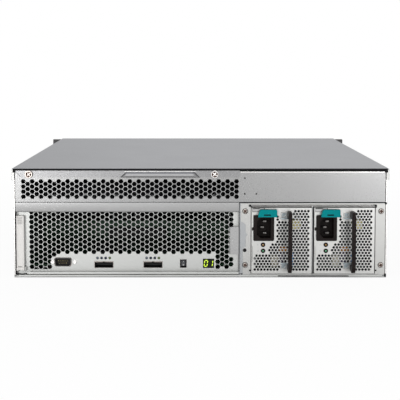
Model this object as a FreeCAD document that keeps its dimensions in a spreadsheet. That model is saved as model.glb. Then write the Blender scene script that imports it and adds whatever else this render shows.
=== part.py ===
import FreeCAD, Part
import math
import os

import Sketcher

# A three-unit disk shelf for a 19 inch rack, in millimetres.
# X runs across the shelf, Y from the rear panel to the drive bays, Z up.
# The origin is the middle of the tub's underside.

driving_sizes = [
    ("tub_width", 444.0, "outside width of the sheet metal tub"),
    ("tub_depth", 520.0, "rear panel to front edge of the tub"),
    ("shelf_height", 131.0, "underside to the top of the cover, three rack units less clearance"),
    ("skin", 1.2, "tub, shelf and frame sheet"),
    ("thin_skin", 1.0, "cover, power supply and tray sheet"),
    ("cover_width", 448.0, "cover across its two skirts"),
    ("cover_depth", 500.0, "cover from its rear edge to its front edge"),
    ("cover_overhang", 1.0, "cover past the rear panel"),
    ("skirt_height", 14.0, "cover skirt down the tub's side"),
    ("seat_gap", 0.3, "gap between a piece and its seat"),
    ("seam_height", 90.6, "lower edge of the upper rear panel"),
    ("panel_height", 36.4, "upper rear panel, seam to top edge"),
    ("lip_strip_height", 11.5, "strip along the top of the module, level with the rear panel"),
    ("sill_height", 3.0, "upturned rear edge of the tub's floor"),
    ("sill_notch_left", 92.6, "left end of the notch in the sill"),
    ("sill_notch_width", 84.7, "length of the notch in the sill"),
    ("sill_notch_height", 1.6, "what is left of the sill in its notch"),
    ("front_step", 2.5, "drop of the side walls in front of the cover"),
    ("shelf_flange", 14.0, "upturned side flanges of the middle shelf"),
    ("divider_x", 46.9, "left face of the wall between module bay and supply bay"),
    ("vent_pitch", 14.0, "honeycomb pitch, coarser than the punched 6.05 to keep the faces few"),
    ("vent_web", 2.6, "metal left between two honeycomb cells"),
    ("upper_vent_left", -210.9, "centre of the first upper vent column"),
    ("upper_vent_right", 42.3, "centre of the last upper vent column"),
    ("upper_vent_low", 97.0, "centre of the lowest upper vent row"),
    ("upper_vent_high", 115.4, "centre of the highest upper vent row"),
    ("flange_right", 46.7, "right end of the cover's rear flange"),
    ("flange_drop", 7.9, "rear flange, from its top bend to its lower edge"),
    ("flange_gap", 0.4, "rear flange to the upper panel"),
    ("grip_left", -95.0, "left foot of the finger grip"),
    ("grip_right", -0.4, "right foot of the finger grip"),
    ("grip_taper", 6.5, "how much shorter the grip is at its crown, each end"),
    ("grip_reach", 5.0, "how far the grip stands off the flange"),
    ("grip_rise", 6.0, "height of the grip at the flange"),
    ("grip_crown", 3.2, "height of the grip at its crown"),
    ("knob_left_x", -203.2, "left cover screw"),
    ("knob_right_x", 17.0, "right cover screw"),
    ("knob_drop", 2.9, "cover screws below the upper panel's top edge"),
    ("knob_radius", 4.6, "cover screw head"),
    ("knob_length", 4.4, "cover screw head, front to back"),
    ("knob_shank_radius", 1.75, "cover screw shank"),
    ("frame_left", 48.0, "left edge of the supply bay frame"),
    ("frame_low", 3.3, "lower edge of the supply bay frame"),
    ("frame_band", 12.0, "width of the frame left and right of the supplies"),
    ("frame_band_top", 2.5, "height of the frame above the supplies"),
    ("frame_past_supply", 4.0, "tunnel past the inner end of the supplies"),
    ("frame_wall", 1.2, "wall of the tunnel"),
    ("frame_divider", 1.0, "plate between the two supplies"),
    ("frame_screw_inset", 5.4, "frame screw from the frame's outer edge"),
    ("frame_screw_low", 15.1, "lower frame screws above the floor"),
    ("frame_screw_high", 79.7, "upper frame screws above the floor"),
    ("screw_head_radius", 2.9, "pan head screw"),
    ("screw_head_height", 1.9, "pan head screw"),
    ("screw_shank_radius", 1.4, "pan head screw shank"),
    ("screw_hole_radius", 1.7, "clearance hole of a pan head screw"),
    ("relief_low", 38.0, "lower end of the relief in the frame's left band"),
    ("relief_height", 27.0, "relief in the frame's left band, end to end"),
    ("relief_tip_rise", 13.2, "point of the relief above its lower end"),
    ("relief_tip_half", 2.45, "half the height of the relief's pointed notch"),
    ("keyhole_drop", 5.0, "keyhole below the relief"),
    ("keyhole_radius", 1.9, "keyhole in the frame's left band"),
    ("supply_width", 71.9, "power supply case"),
    ("supply_height", 79.0, "power supply case"),
    ("supply_depth", 240.0, "power supply case"),
    ("socket_reach", 8.5, "power supply to the plug board"),
    ("supply_side_gap", 0.9, "power supply to the tunnel wall"),
    ("small_vent_pitch", 10.6, "supply honeycomb pitch, coarser than the punched 3.8"),
    ("small_vent_web", 3.0, "metal left between two cells of a supply vent"),
    ("small_vent_margin", 5.6, "centres of the outer vent cells from the supply's edge"),
    ("inlet_x", 14.6, "mains inlet centre from the supply's left side"),
    ("inlet_z", 54.9, "mains inlet centre above the supply's underside"),
    ("inlet_flange_width", 24.6, "mains inlet flange"),
    ("inlet_flange_height", 31.0, "mains inlet flange"),
    ("inlet_flange_thickness", 2.4, "mains inlet flange"),
    ("inlet_body_margin", 1.4, "inlet flange past the inlet body, each side"),
    ("inlet_depth", 21.0, "mains inlet body behind the supply face"),
    ("socket_width", 16.4, "mains inlet cavity across the pins' line"),
    ("socket_height", 24.4, "mains inlet cavity along the pins' line"),
    ("socket_depth", 16.5, "mains inlet cavity"),
    ("socket_bevel", 4.5, "cut corners of the cavity on the earth side"),
    ("blade_spacing", 14.0, "line pin to neutral pin"),
    ("blade_offset", 1.5, "pins either side of the cavity's middle line"),
    ("blade_width", 4.0, "mains pin"),
    ("blade_thickness", 2.0, "mains pin"),
    ("blade_length", 14.0, "mains pin in the cavity"),
    ("handle_x", 42.6, "left side of the supply handle"),
    ("handle_width", 4.2, "supply handle, side to side"),
    ("handle_reach", 21.0, "supply handle off the supply face"),
    ("handle_height", 72.2, "supply handle, foot to foot"),
    ("handle_low", 3.4, "lower end of the handle above the supply's underside"),
    ("handle_bar", 7.0, "thickness of the handle's bar"),
    ("handle_leg", 8.0, "thickness of the handle's legs"),
    ("handle_round", 5.0, "outer corner radius of the handle"),
    ("handle_pivot", 3.4, "handle pivot off the supply face"),
    ("handle_pin_radius", 1.2, "handle pivot pin"),
    ("bracket_width", 7.4, "handle bracket, left of the handle"),
    ("bracket_height", 6.6, "handle bracket on the supply face"),
    ("bracket_thickness", 1.4, "handle bracket sheet"),
    ("latch_left", 7.6, "release tab from the supply's left side"),
    ("latch_width", 22.6, "release tab"),
    ("latch_low", 68.5, "release tab above the supply's underside"),
    ("latch_height", 9.0, "release tab"),
    ("latch_reach", 7.5, "release tab off the supply face"),
    ("latch_lift", 3.2, "gap between supply face and release tab"),
    ("latch_round", 1.4, "front edges of the release tab"),
    ("latch_spring", 1.0, "spring strip of the release tab"),
    ("latch_strip_left", 1.2, "left end of the spring strip"),
    ("latch_strip_height", 4.2, "spring strip"),
    ("lamp_x", 13.9, "supply lamps from the supply's left side"),
    ("lamp_high", 34.6, "amber lamp above the supply's underside"),
    ("lamp_low", 27.3, "green lamp above the supply's underside"),
    ("lamp_hole_radius", 2.6, "supply lamp hole"),
    ("catch_slot_z", 53.6, "slot for the catch at the supply's left edge"),
    ("catch_slot_width", 3.0, "slot for the catch"),
    ("catch_slot_height", 4.2, "slot for the catch"),
    ("supply_fan_size", 69.0, "fan at the inner end of a supply"),
    ("supply_fan_depth", 25.0, "fan at the inner end of a supply"),
    ("supply_rotor_radius", 31.0, "its rotor"),
    ("transformer_gap", 4.0, "transformer past the near end of the supply's board"),
    ("module_recess", 8.0, "module face behind the rear panel"),
    ("module_lip_height", 3.3, "lip along the foot of the module, level with the rear panel"),
    ("module_lip_left", -206.5, "left end of the lip, beside the ejector"),
    ("module_width", 266.0, "controller module"),
    ("module_height", 86.7, "controller module, tray floor to strip"),
    ("module_end_gap", 5.6, "module tray to the plug board"),
    ("runner_inset", 16.0, "floor runner under the module from the module's side"),
    ("runner_width", 10.0, "floor runner under the module"),
    ("module_side_gap", 0.8, "module to the tub's side wall"),
    ("tray_wall_height", 28.0, "side walls of the module tray"),
    ("module_vent_left", -199.2, "centre of the first module vent column"),
    ("module_vent_right", 36.8, "centre of the last module vent column"),
    ("module_vent_low", 29.7, "centre of the lowest full vent row"),
    ("module_vent_high", 72.0, "centre of the highest vent row"),
    ("module_vent_foot", 15.8, "centre of the lowest row in the two corner blocks"),
    ("corner_vent_left", -180.0, "left corner block ends here"),
    ("corner_vent_right", 20.5, "right corner block starts here"),
    ("serial_x", -164.8, "nine pin serial connector"),
    ("serial_z", 17.2, "nine pin serial connector"),
    ("serial_width", 20.4, "serial connector cut-out"),
    ("serial_height", 10.2, "serial connector cut-out"),
    ("serial_flange_width", 30.8, "mounting flange of the serial connector, behind the face"),
    ("serial_flange_height", 12.4, "mounting flange of the serial connector"),
    ("serial_flange_depth", 6.0, "serial connector behind its flange"),
    ("serial_reach", 1.5, "serial connector shell off the module face"),
    ("serial_depth", 12.0, "serial connector shell, front to back"),
    ("serial_slant", 1.6, "how much each side of the D leans in"),
    ("serial_rim", 0.8, "serial connector shell wall"),
    ("serial_cavity", 7.0, "serial connector cavity"),
    ("serial_pin", 1.0, "serial pin, side to side"),
    ("serial_pin_length", 5.0, "serial pin in the cavity"),
    ("serial_pin_step", 2.77, "serial pins, centre to centre"),
    ("serial_row_step", 2.84, "serial pin rows, centre to centre"),
    ("link_left_x", -115.7, "left link port"),
    ("link_right_x", -56.7, "right link port"),
    ("link_z", 14.0, "link ports"),
    ("link_width", 22.6, "link port"),
    ("link_height", 7.8, "link port"),
    ("link_depth", 24.0, "link port behind the module face"),
    ("link_wall", 0.8, "link port shell"),
    ("link_reach", 0.6, "link port shell off the module face"),
    ("link_tongue", 1.6, "contact tongue in a link port"),
    ("link_tongue_inset", 3.0, "tongue from the port's sides and mouth"),
    ("lens_z", 22.0, "row of small lamps above the link ports"),
    ("lens_radius", 1.3, "small lamp"),
    ("lens_step", 4.9, "small lamps, centre to centre"),
    ("lens_length", 5.0, "small lamp, front to back"),
    ("rocker_x", -20.3, "power rocker"),
    ("rocker_z", 15.2, "power rocker"),
    ("rocker_width", 7.8, "power rocker frame"),
    ("rocker_height", 10.0, "power rocker frame"),
    ("rocker_wall", 0.9, "power rocker frame"),
    ("rocker_depth", 9.0, "power rocker frame behind the module face"),
    ("rocker_play", 0.35, "rocker to its frame"),
    ("rocker_reach", 0.8, "rocker frame off the module face"),
    ("rocker_pivot", 3.0, "rocker pivot behind the module face"),
    ("rocker_nose", 4.2, "ends of the rocker off its pivot"),
    ("rocker_waist", 3.6, "middle of the rocker off its pivot"),
    ("display_x", 9.9, "two digit display"),
    ("display_z", 15.5, "two digit display"),
    ("display_width", 13.4, "two digit display"),
    ("display_height", 11.4, "two digit display"),
    ("display_depth", 7.0, "two digit display"),
    ("board_z", 8.0, "underside of the module's circuit board"),
    ("board_thickness", 1.6, "circuit boards"),
    ("ejector_left", -219.7, "left side of the ejector lever"),
    ("ejector_width", 9.4, "ejector lever, side to side"),
    ("ejector_low", 5.8, "lower end of the ejector lever"),
    ("ejector_length", 68.2, "ejector lever, end to end"),
    ("ejector_thickness", 6.0, "ejector lever, front to back"),
    ("ejector_pin_radius", 1.5, "ejector pivot pin"),
    ("ejector_lug", 1.5, "lug that carries the ejector's pin"),
    ("ejector_lug_wall", 1.1, "metal around the pin in its lug"),
    ("pin_play", 0.06, "pivot pin to its hole"),
    ("pull_tab_left", 34.8, "left side of the module's pull tab"),
    ("pull_tab_width", 11.0, "pull tab"),
    ("pull_tab_low", 27.8, "lower end of the pull tab"),
    ("pull_tab_height", 32.8, "pull tab"),
    ("fan_size", 120.0, "chassis fan"),
    ("fan_depth", 38.0, "chassis fan"),
    ("fan_bore_radius", 57.5, "chassis fan bore"),
    ("fan_hub_radius", 22.0, "chassis fan motor"),
    ("fan_rotor_radius", 56.0, "chassis fan blade tips"),
    ("fan_left_x", -159.0, "left chassis fan"),
    ("fan_step", 124.0, "chassis fans, centre to centre"),
    ("fan_gap", 20.0, "chassis fans to the midplane"),
    ("strut_depth", 3.0, "motor struts of a fan, front to back"),
    ("strut_width", 6.0, "motor struts of a fan"),
    ("blade_sheet", 1.6, "fan blade"),
    ("plug_board_height", 30.0, "board that the module and the supplies plug into"),
    ("plug_width", 40.0, "its supply sockets"),
    ("module_plug_width", 80.0, "its module socket"),
    ("plug_height", 12.0, "its sockets"),
    ("midplane_from_front", 164.0, "front face of the tub to the midplane"),
    ("midplane_thickness", 2.4, "midplane board"),
    ("bay_columns", 4, "drive bays across"),
    ("bay_rows", 4, "drive bays up"),
    ("bay_width", 109.6, "drive bays, centre to centre across"),
    ("bay_height", 31.2, "drive bays, centre to centre up"),
    ("cage_wall", 1.2, "sheet of the drive cage"),
    ("cage_floor_gap", 0.3, "drive cage above the tub's floor"),
    ("cage_depth", 158.0, "drive cage, front to back"),
    ("rail_width", 3.4, "guide rail out from the cage wall"),
    ("rail_thickness", 1.2, "guide rail"),
    ("carrier_width", 107.2, "drive carrier bezel"),
    ("carrier_height", 29.4, "drive carrier bezel"),
    ("bezel_depth", 15.0, "drive carrier bezel, front to back"),
    ("bezel_wall", 2.6, "drive carrier bezel edge"),
    ("bezel_floor", 6.0, "back of the lever recess from the bezel's rear face"),
    ("carrier_vent", 50.0, "air slot in the back of the bezel"),
    ("tray_width", 104.6, "carrier tray outside"),
    ("tray_length", 150.0, "carrier tray"),
    ("tray_side", 18.0, "carrier tray side wall"),
    ("drive_width", 101.6, "three and a half inch drive"),
    ("drive_height", 26.1, "three and a half inch drive"),
    ("drive_length", 147.0, "three and a half inch drive"),
    ("lever_pivot_x", -46.6, "carrier lever pivot from the carrier's middle"),
    ("lever_pivot_y", 10.0, "carrier lever pivot from the bezel's rear face"),
    ("lever_thickness", 5.4, "carrier lever"),
    ("lever_length", 88.0, "carrier lever, pivot to tip"),
    ("lever_height", 23.0, "carrier lever"),
    ("ear_span", 482.6, "across the two rack ears"),
    ("ear_height", 126.5, "rack ear"),
    ("ear_thickness", 2.0, "rack ear"),
    ("ear_leg", 36.0, "leg of the rack ear along the tub's side"),
    ("ear_slot_spacing", 465.1, "rack slots, centre to centre across"),
    ("ear_slot_rise", 57.15, "rack slots, centre to centre up"),
    ("ear_slot_radius", 3.4, "half the width of a rack slot"),
    ("ear_slot_length", 10.3, "rack slot, end to end"),
    ("ear_slot_middle", 65.5, "middle of the rack slots above the floor"),
]

doc = FreeCAD.newDocument("disk_shelf")
sheet = doc.addObject("Spreadsheet::Sheet", "sizes")
for line, (alias, value, note) in enumerate(driving_sizes, start=1):
    sheet.set(f"A{line}", note)
    sheet.set(f"B{line}", str(value))
    sheet.setAlias(f"B{line}", alias)
doc.recompute()


class Size:
    """A number together with the spreadsheet expression that gives it."""

    def __init__(self, number, text):
        self.number = number
        self.text = text

    def __add__(self, other):
        return Size(self.number + number_of(other), f"({self.text} + {text_of(other)})")

    def __sub__(self, other):
        return Size(self.number - number_of(other), f"({self.text} - {text_of(other)})")

    def __mul__(self, other):
        return Size(self.number * number_of(other), f"({self.text} * {text_of(other)})")

    def __truediv__(self, other):
        return Size(self.number / number_of(other), f"({self.text} / {text_of(other)})")

    def __radd__(self, other):
        return Size(number_of(other) + self.number, f"({text_of(other)} + {self.text})")

    def __rsub__(self, other):
        return Size(number_of(other) - self.number, f"({text_of(other)} - {self.text})")

    def __rmul__(self, other):
        return Size(number_of(other) * self.number, f"({text_of(other)} * {self.text})")

    def __neg__(self):
        return Size(-self.number, f"(-1 * {self.text})")


def number_of(value):
    return value.number if isinstance(value, Size) else float(value)


def text_of(value):
    return value.text if isinstance(value, Size) else f"({float(value)!r})"


def size(alias):
    """The size in the cell with that alias."""
    return Size(float(sheet.get(alias)), f"sizes.{alias}")


def bind(thing, name, value):
    """Ties a property to the spreadsheet."""
    thing.setExpression(name, text_of(value))


def place(thing, x, y, z):
    bind(thing, "Placement.Base.x", x)
    bind(thing, "Placement.Base.y", y)
    bind(thing, "Placement.Base.z", z)
    return thing


# Sketches and features

cut_margin = 1.0
axis_direction = {
    "X": FreeCAD.Vector(1, 0, 0),
    "Y": FreeCAD.Vector(0, 1, 0),
    "Z": FreeCAD.Vector(0, 0, 1),
}


def new_body(label):
    body = doc.addObject("PartDesign::Body", label)
    body.Label = label
    return body


def rectangle(left, right, low, high):
    return [(left, low), (right, low), (right, high), (left, high)]


def disc(x, y, radius):
    return ("disc", x, y, radius)


def many_sided(x, y, radius, sides=6):
    """A small round outline drawn with a few sides, to keep its faces few."""
    turn = 2 * math.pi / sides
    return [(x + radius * math.cos(turn * i), y + radius * math.sin(turn * i)) for i in range(sides)]


def add_polygon(sketch, points):
    first = sketch.GeometryCount
    count = len(points)
    corners = [FreeCAD.Vector(number_of(x), number_of(y), 0) for x, y in points]
    lines = [Part.LineSegment(corners[i], corners[(i + 1) % count]) for i in range(count)]
    sketch.addGeometry(lines, False)
    rules = []
    for i in range(count):
        rules.append(Sketcher.Constraint("Coincident", first + i, 2, first + (i + 1) % count, 1))
        rules.append(Sketcher.Constraint("DistanceX", first + i, 1, corners[i].x))
        rules.append(Sketcher.Constraint("DistanceY", first + i, 1, corners[i].y))
    start = sketch.ConstraintCount
    sketch.addConstraint(rules)
    for i, (x, y) in enumerate(points):
        bind(sketch, f"Constraints[{start + 3 * i + 1}]", x)
        bind(sketch, f"Constraints[{start + 3 * i + 2}]", y)


def add_disc(sketch, x, y, radius):
    first = sketch.GeometryCount
    centre = FreeCAD.Vector(number_of(x), number_of(y), 0)
    up = FreeCAD.Vector(0, 0, 1)
    sketch.addGeometry(Part.Circle(centre, up, number_of(radius)), False)
    start = sketch.ConstraintCount
    sketch.addConstraint(
        [
            Sketcher.Constraint("DistanceX", first, 3, centre.x),
            Sketcher.Constraint("DistanceY", first, 3, centre.y),
            Sketcher.Constraint("Radius", first, number_of(radius)),
        ]
    )
    for i, value in enumerate((x, y, radius)):
        bind(sketch, f"Constraints[{start + i}]", value)


def new_sketch(body, plane, start, outlines):
    """A sketch on XY, XZ or YZ, moved along the plane's normal to the coordinate start."""
    sketch = body.newObject("Sketcher::SketchObject", f"{body.Name}_sketch")
    base = [item for item in body.Origin.OriginFeatures if item.Role == f"{plane}_Plane"]
    sketch.AttachmentSupport = [(base[0], "")]
    sketch.MapMode = "FlatFace"
    bind(sketch, "AttachmentOffset.Base.z", -1 * start if plane == "XZ" else start)
    for outline in outlines:
        if outline[0] == "disc":
            add_disc(sketch, *outline[1:])
        else:
            add_polygon(sketch, outline)
    return sketch


def pad(body, plane, start, length, outlines):
    """Adds material from start, in the axis's positive direction."""
    sketch = new_sketch(body, plane, start, outlines)
    feature = body.newObject("PartDesign::Pad", f"{body.Name}_pad")
    feature.Profile = sketch
    bind(feature, "Length", length)
    feature.Reversed = plane == "XZ"
    return feature


def pocket(body, plane, start, length, outlines):
    """Cuts from start, in the axis's positive direction."""
    sketch = new_sketch(body, plane, start, outlines)
    feature = body.newObject("PartDesign::Pocket", f"{body.Name}_pocket")
    feature.Profile = sketch
    bind(feature, "Length", length)
    feature.Reversed = plane != "XZ"
    return feature


def repeat_feature(body, feature, axes, steps, counts):
    """Copies of a feature in one or two directions."""
    pattern = body.newObject("PartDesign::LinearPattern", f"{body.Name}_row")
    pattern.Originals = [feature]
    for axis, step, count, ending in zip(axes, steps, counts, ("", "2")):
        line = [item for item in body.Origin.OriginFeatures if item.Role == f"{axis}_Axis"]
        setattr(pattern, f"Direction{ending}", (line[0], [""]))
        bind(pattern, f"Length{ending}", step * (count - 1))
        bind(pattern, f"Occurrences{ending}", count)
    body.Tip = pattern
    return pattern


def edges_along(feature, axis, wanted=lambda middle: True):
    """Names of the straight edges parallel to an axis whose middle is wanted."""
    doc.recompute()
    direction = axis_direction[axis]
    names = []
    for number, edge in enumerate(feature.Shape.Edges, start=1):
        if len(edge.Vertexes) != 2 or not isinstance(edge.Curve, Part.Line):
            continue
        along = edge.Vertexes[1].Point - edge.Vertexes[0].Point
        middle = (edge.Vertexes[1].Point + edge.Vertexes[0].Point) * 0.5
        if abs(along.normalize().dot(direction)) > 0.999 and wanted(middle):
            names.append(f"Edge{number}")
    return names


def round_edges(body, feature, radius, names):
    fillet = body.newObject("PartDesign::Fillet", f"{body.Name}_round")
    fillet.Base = (feature, names)
    bind(fillet, "Radius", radius)
    return fillet


def box(label, x, y, z, length, width, height):
    block = doc.addObject("Part::Box", label)
    bind(block, "Length", length)
    bind(block, "Width", width)
    bind(block, "Height", height)
    return place(block, x, y, z)


def rod(label, axis, x, y, z, radius, length):
    """A cylinder along X, Y or Z from the point given."""
    round_bar = doc.addObject("Part::Cylinder", label)
    bind(round_bar, "Radius", radius)
    bind(round_bar, "Height", length)
    turn = FreeCAD.Rotation(axis_direction["Z"], axis_direction[axis])
    round_bar.Placement = FreeCAD.Placement(FreeCAD.Vector(), turn)
    return place(round_bar, x, y, z)


def group(label, members):
    """Separate solids that share one node."""
    node = doc.addObject("Part::Compound", label)
    node.Links = members
    return node


def cut(label, base, tool):
    node = doc.addObject("Part::Cut", label)
    node.Base = base
    node.Tool = tool
    return node


def honeycomb(label, pitch, web, y, depth, left, right, low, high, wanted=lambda x, z: True):
    """Six-sided prisms in staggered columns: the tool that punches a vent."""
    across = number_of(pitch)
    column_step = across * math.cos(math.radians(30))
    corner = (across - number_of(web)) / 2 / math.cos(math.radians(30))
    columns = int((number_of(right) - number_of(left)) / column_step + 0.5) + 1
    rows = int((number_of(high) - number_of(low)) / across + 0.01) + 1
    prisms = []
    for column in range(columns):
        x = number_of(left) + column * column_step
        raised = across / 2 if column % 2 else 0.0
        for row in range(rows):
            z = number_of(low) + raised + row * across
            if z > number_of(high) + across * 0.1 or not wanted(x, z):
                continue
            angles = [math.radians(60 * i) for i in range(7)]
            ring = [
                FreeCAD.Vector(x + corner * math.cos(a), number_of(y), z + corner * math.sin(a))
                for a in angles
            ]
            face = Part.Face(Part.makePolygon(ring))
            prisms.append(face.extrude(FreeCAD.Vector(0, number_of(depth), 0)))
    tool = doc.addObject("Part::Feature", label)
    tool.Shape = Part.makeCompound(prisms)
    return tool


def pan_head_screw(label, x, y, z, length):
    """A screw whose head sits on the plane y and whose shank goes towards +Y."""
    body = new_body(label)
    head = size("screw_head_radius")
    tall = size("screw_head_height")
    pad(body, "XZ", -tall, tall, [many_sided(0, 0, head, 12)])
    pad(body, "XZ", 0, length, [many_sided(0, 0, size("screw_shank_radius"))])
    slot = size("screw_shank_radius") / 4
    arm = head * 0.62
    pocket(body, "XZ", -tall - cut_margin, tall / 2 + cut_margin, [rectangle(-slot, slot, -arm, arm)])
    pocket(body, "XZ", -tall - cut_margin, tall / 2 + cut_margin, [rectangle(-arm, arm, -slot, slot)])
    return place(body, x, y, z)


nodes = {}


def node(label, thing):
    thing.Label = label
    nodes[label] = thing
    return thing


# Planes that several pieces share

gap = size("seat_gap")
skin = size("skin")
thin = size("thin_skin")
half_width = size("tub_width") / 2
inner_half = half_width - skin
rear = -size("tub_depth") / 2
front = size("tub_depth") / 2
tub_top = size("shelf_height") - thin
seam = size("seam_height")
panel_top = seam + size("panel_height")
shelf_low = seam + gap
shelf_top = shelf_low + skin
cover_front = rear - size("cover_overhang") + size("cover_depth")
frame_right = inner_half - gap
frame_top = seam - 2 * gap
knob_z = panel_top - size("knob_drop")
module_face = rear + size("module_recess")
screw_depth = 4 * skin
plug_board_y = rear + size("supply_depth") + gap + size("socket_reach")
module_left = -inner_half + size("module_side_gap")
module_right = module_left + size("module_width")


def screw_holes(x):
    """The two holes of the supply bay frame's screws at one side."""
    hole = size("screw_hole_radius")
    return [many_sided(x, size(f"frame_screw_{end}"), hole) for end in ("low", "high")]


# Tub: floor, two side walls, the perforated upper rear panel and the sill

def make_tub():
    tub = new_body("tub_sheet")
    channel = [
        (-half_width, 0),
        (half_width, 0),
        (half_width, tub_top),
        (inner_half, tub_top),
        (inner_half, skin),
        (-inner_half, skin),
        (-inner_half, tub_top),
        (-half_width, tub_top),
    ]
    pad(tub, "XZ", rear, size("tub_depth"), [channel])
    pad(tub, "XZ", rear, skin, [rectangle(-half_width, half_width, seam, panel_top)])
    notch = size("sill_notch_left")
    notch_end = notch + size("sill_notch_width")
    sill = [
        (-half_width, 0),
        (half_width, 0),
        (half_width, size("sill_height")),
        (notch_end, size("sill_height")),
        (notch_end, size("sill_notch_height")),
        (notch, size("sill_notch_height")),
        (notch, size("sill_height")),
        (-half_width, size("sill_height")),
    ]
    pad(tub, "XZ", rear, skin, [sill])
    runner_left = module_left + size("runner_inset")
    runner_right = module_right - size("runner_inset") - size("runner_width")
    runners = [
        rectangle(x, x + size("runner_width"), skin / 2, size("sill_height"))
        for x in (runner_left, runner_right)
    ]
    pad(tub, "XZ", rear + skin / 2, plug_board_y - 2 * gap - rear - skin / 2, runners)
    ear_left = frame_right - size("frame_band") + size("frame_wall") + 2 * gap
    pad(tub, "XZ", rear + skin, skin, [rectangle(ear_left, half_width, 0, frame_top)])
    step = tub_top - size("front_step")
    clear = cover_front + gap
    pocket(
        tub, "XZ", clear, front - clear + cut_margin,
        [rectangle(-half_width - cut_margin, half_width + cut_margin, step, tub_top + cut_margin)],
    )
    insert = size("knob_shank_radius") + size("pin_play")
    knob_holes = [many_sided(size(f"knob_{side}_x"), knob_z, insert) for side in ("left", "right")]
    pocket(tub, "XZ", rear - cut_margin, skin + 2 * cut_margin, knob_holes)
    screw_x = frame_right - size("frame_screw_inset")
    pocket(tub, "XZ", rear - cut_margin, screw_depth, screw_holes(screw_x))
    vent = honeycomb(
        "upper_vent_tool", size("vent_pitch"), size("vent_web"), rear - cut_margin, skin + 2 * cut_margin,
        size("upper_vent_left"), size("upper_vent_right"), size("upper_vent_low"), size("upper_vent_high"),
    )
    node("chassis_tub", cut("chassis_tub", tub, vent))


# Middle shelf: deck over the two lower bays and the wall between them

def make_middle_shelf():
    shelf = new_body("middle_shelf")
    left = -inner_half + gap
    right = inner_half - gap
    flange_top = shelf_top + size("shelf_flange")
    deck = [
        (left, shelf_low),
        (right, shelf_low),
        (right, flange_top),
        (right - skin, flange_top),
        (right - skin, shelf_top),
        (left + skin, shelf_top),
        (left + skin, flange_top),
        (left, flange_top),
    ]
    deck_start = rear + skin
    depth = plug_board_y - 2 * gap - deck_start
    pad(shelf, "XZ", deck_start, depth, [deck])
    wall_x = size("divider_x")
    wall_end = wall_x + skin
    pad(shelf, "XZ", deck_start, depth, [rectangle(wall_x, wall_end, skin, shelf_top)])
    flange_end = size("frame_left") + size("frame_band") - size("frame_wall") - 2 * gap
    pad(shelf, "XZ", deck_start, skin, [rectangle(wall_x, flange_end, skin, shelf_top)])
    screw_x = size("frame_left") + size("frame_screw_inset")
    pocket(shelf, "XZ", rear - cut_margin, screw_depth, screw_holes(screw_x))
    node("middle_shelf", shelf)


# Top cover with its stepped rear flange, finger grip and two captive screws

def make_cover():
    cover = new_body("cover_sheet")
    outer = size("cover_width") / 2
    inner = outer - thin
    top = size("shelf_height")
    skirt_low = top - size("skirt_height")
    bridge = [
        (-outer, skirt_low),
        (-inner, skirt_low),
        (-inner, tub_top),
        (inner, tub_top),
        (inner, skirt_low),
        (outer, skirt_low),
        (outer, top),
        (-outer, top),
    ]
    pad(cover, "XZ", rear - size("cover_overhang"), size("cover_depth"), [bridge])
    flange_in = rear - size("flange_gap")
    flange_out = flange_in - thin
    web_low = panel_top + gap
    web_high = web_low + thin
    flange_low = web_high - size("flange_drop")
    step_out = rear + skin + gap
    step_in = step_out + thin
    joggle = [
        (flange_out, flange_low),
        (flange_in, flange_low),
        (flange_in, web_low),
        (step_in, web_low),
        (step_in, tub_top + thin / 2),
        (step_out, tub_top + thin / 2),
        (step_out, web_high),
        (flange_out, web_high),
    ]
    flange_left = -inner_half + gap
    pad(cover, "YZ", flange_left, size("flange_right") - flange_left, [joggle])
    hole = size("knob_shank_radius") + 2 * gap
    knob_holes = [many_sided(size(f"knob_{side}_x"), knob_z, hole) for side in ("left", "right")]
    pocket(cover, "XZ", flange_out - cut_margin, thin + 2 * cut_margin, knob_holes)

    def grip_section(depth, margin, drop):
        """The grip's outline at a share of its reach, shrunk by the margin."""
        taper = size("grip_taper") * depth
        tall = size("grip_rise") - (size("grip_rise") - size("grip_crown")) * depth
        return rectangle(
            size("grip_left") + taper + margin,
            size("grip_right") - taper - margin,
            flange_low - drop,
            flange_low + tall - margin,
        )

    reach = size("grip_reach")
    foot = new_sketch(cover, "XZ", flange_out, [grip_section(0, 0, 0)])
    crown = new_sketch(cover, "XZ", flange_out - reach, [grip_section(1, 0, 0)])
    hood = cover.newObject("PartDesign::AdditiveLoft", "grip_hood")
    hood.Profile = foot
    hood.Sections = [crown]
    hood.Ruled = True
    hollow_foot = new_sketch(cover, "XZ", flange_out, [grip_section(0, thin, cut_margin)])
    hollow_crown = new_sketch(cover, "XZ", flange_out - reach + thin, [grip_section(1, thin, cut_margin)])
    hollow = cover.newObject("PartDesign::SubtractiveLoft", "grip_hollow")
    hollow.Profile = hollow_foot
    hollow.Sections = [hollow_crown]
    hollow.Ruled = True

    knobs = []
    for side in ("left", "right"):
        knob = new_body(f"cover_screw_{side}")
        head = size("knob_radius")
        long = size("knob_length")
        pad(knob, "XZ", -long, long, [many_sided(0, 0, head, 16)])
        shank = many_sided(0, 0, size("knob_shank_radius"))
        pad(knob, "XZ", 0, thin + size("flange_gap") + 4 * skin, [shank])
        slot = size("knob_shank_radius") / 4
        arm = head * 0.55
        pocket(knob, "XZ", -long - cut_margin, long / 3 + cut_margin, [rectangle(-slot, slot, -arm, arm)])
        pocket(knob, "XZ", -long - cut_margin, long / 3 + cut_margin, [rectangle(-arm, arm, -slot, slot)])
        knobs.append(place(knob, size(f"knob_{side}_x"), flange_out, knob_z))
    node("top_cover", group("top_cover", [cover, *knobs]))


# Supply bay frame: a flange that is screwed on, and the tunnel that guides both supplies

frame_left = size("frame_left")
band = size("frame_band")
wall = size("frame_wall")
low = size("frame_low")
window_left = frame_left + band
window_right = frame_right - band
window_low = low + wall
window_top = frame_top - size("frame_band_top")


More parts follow.
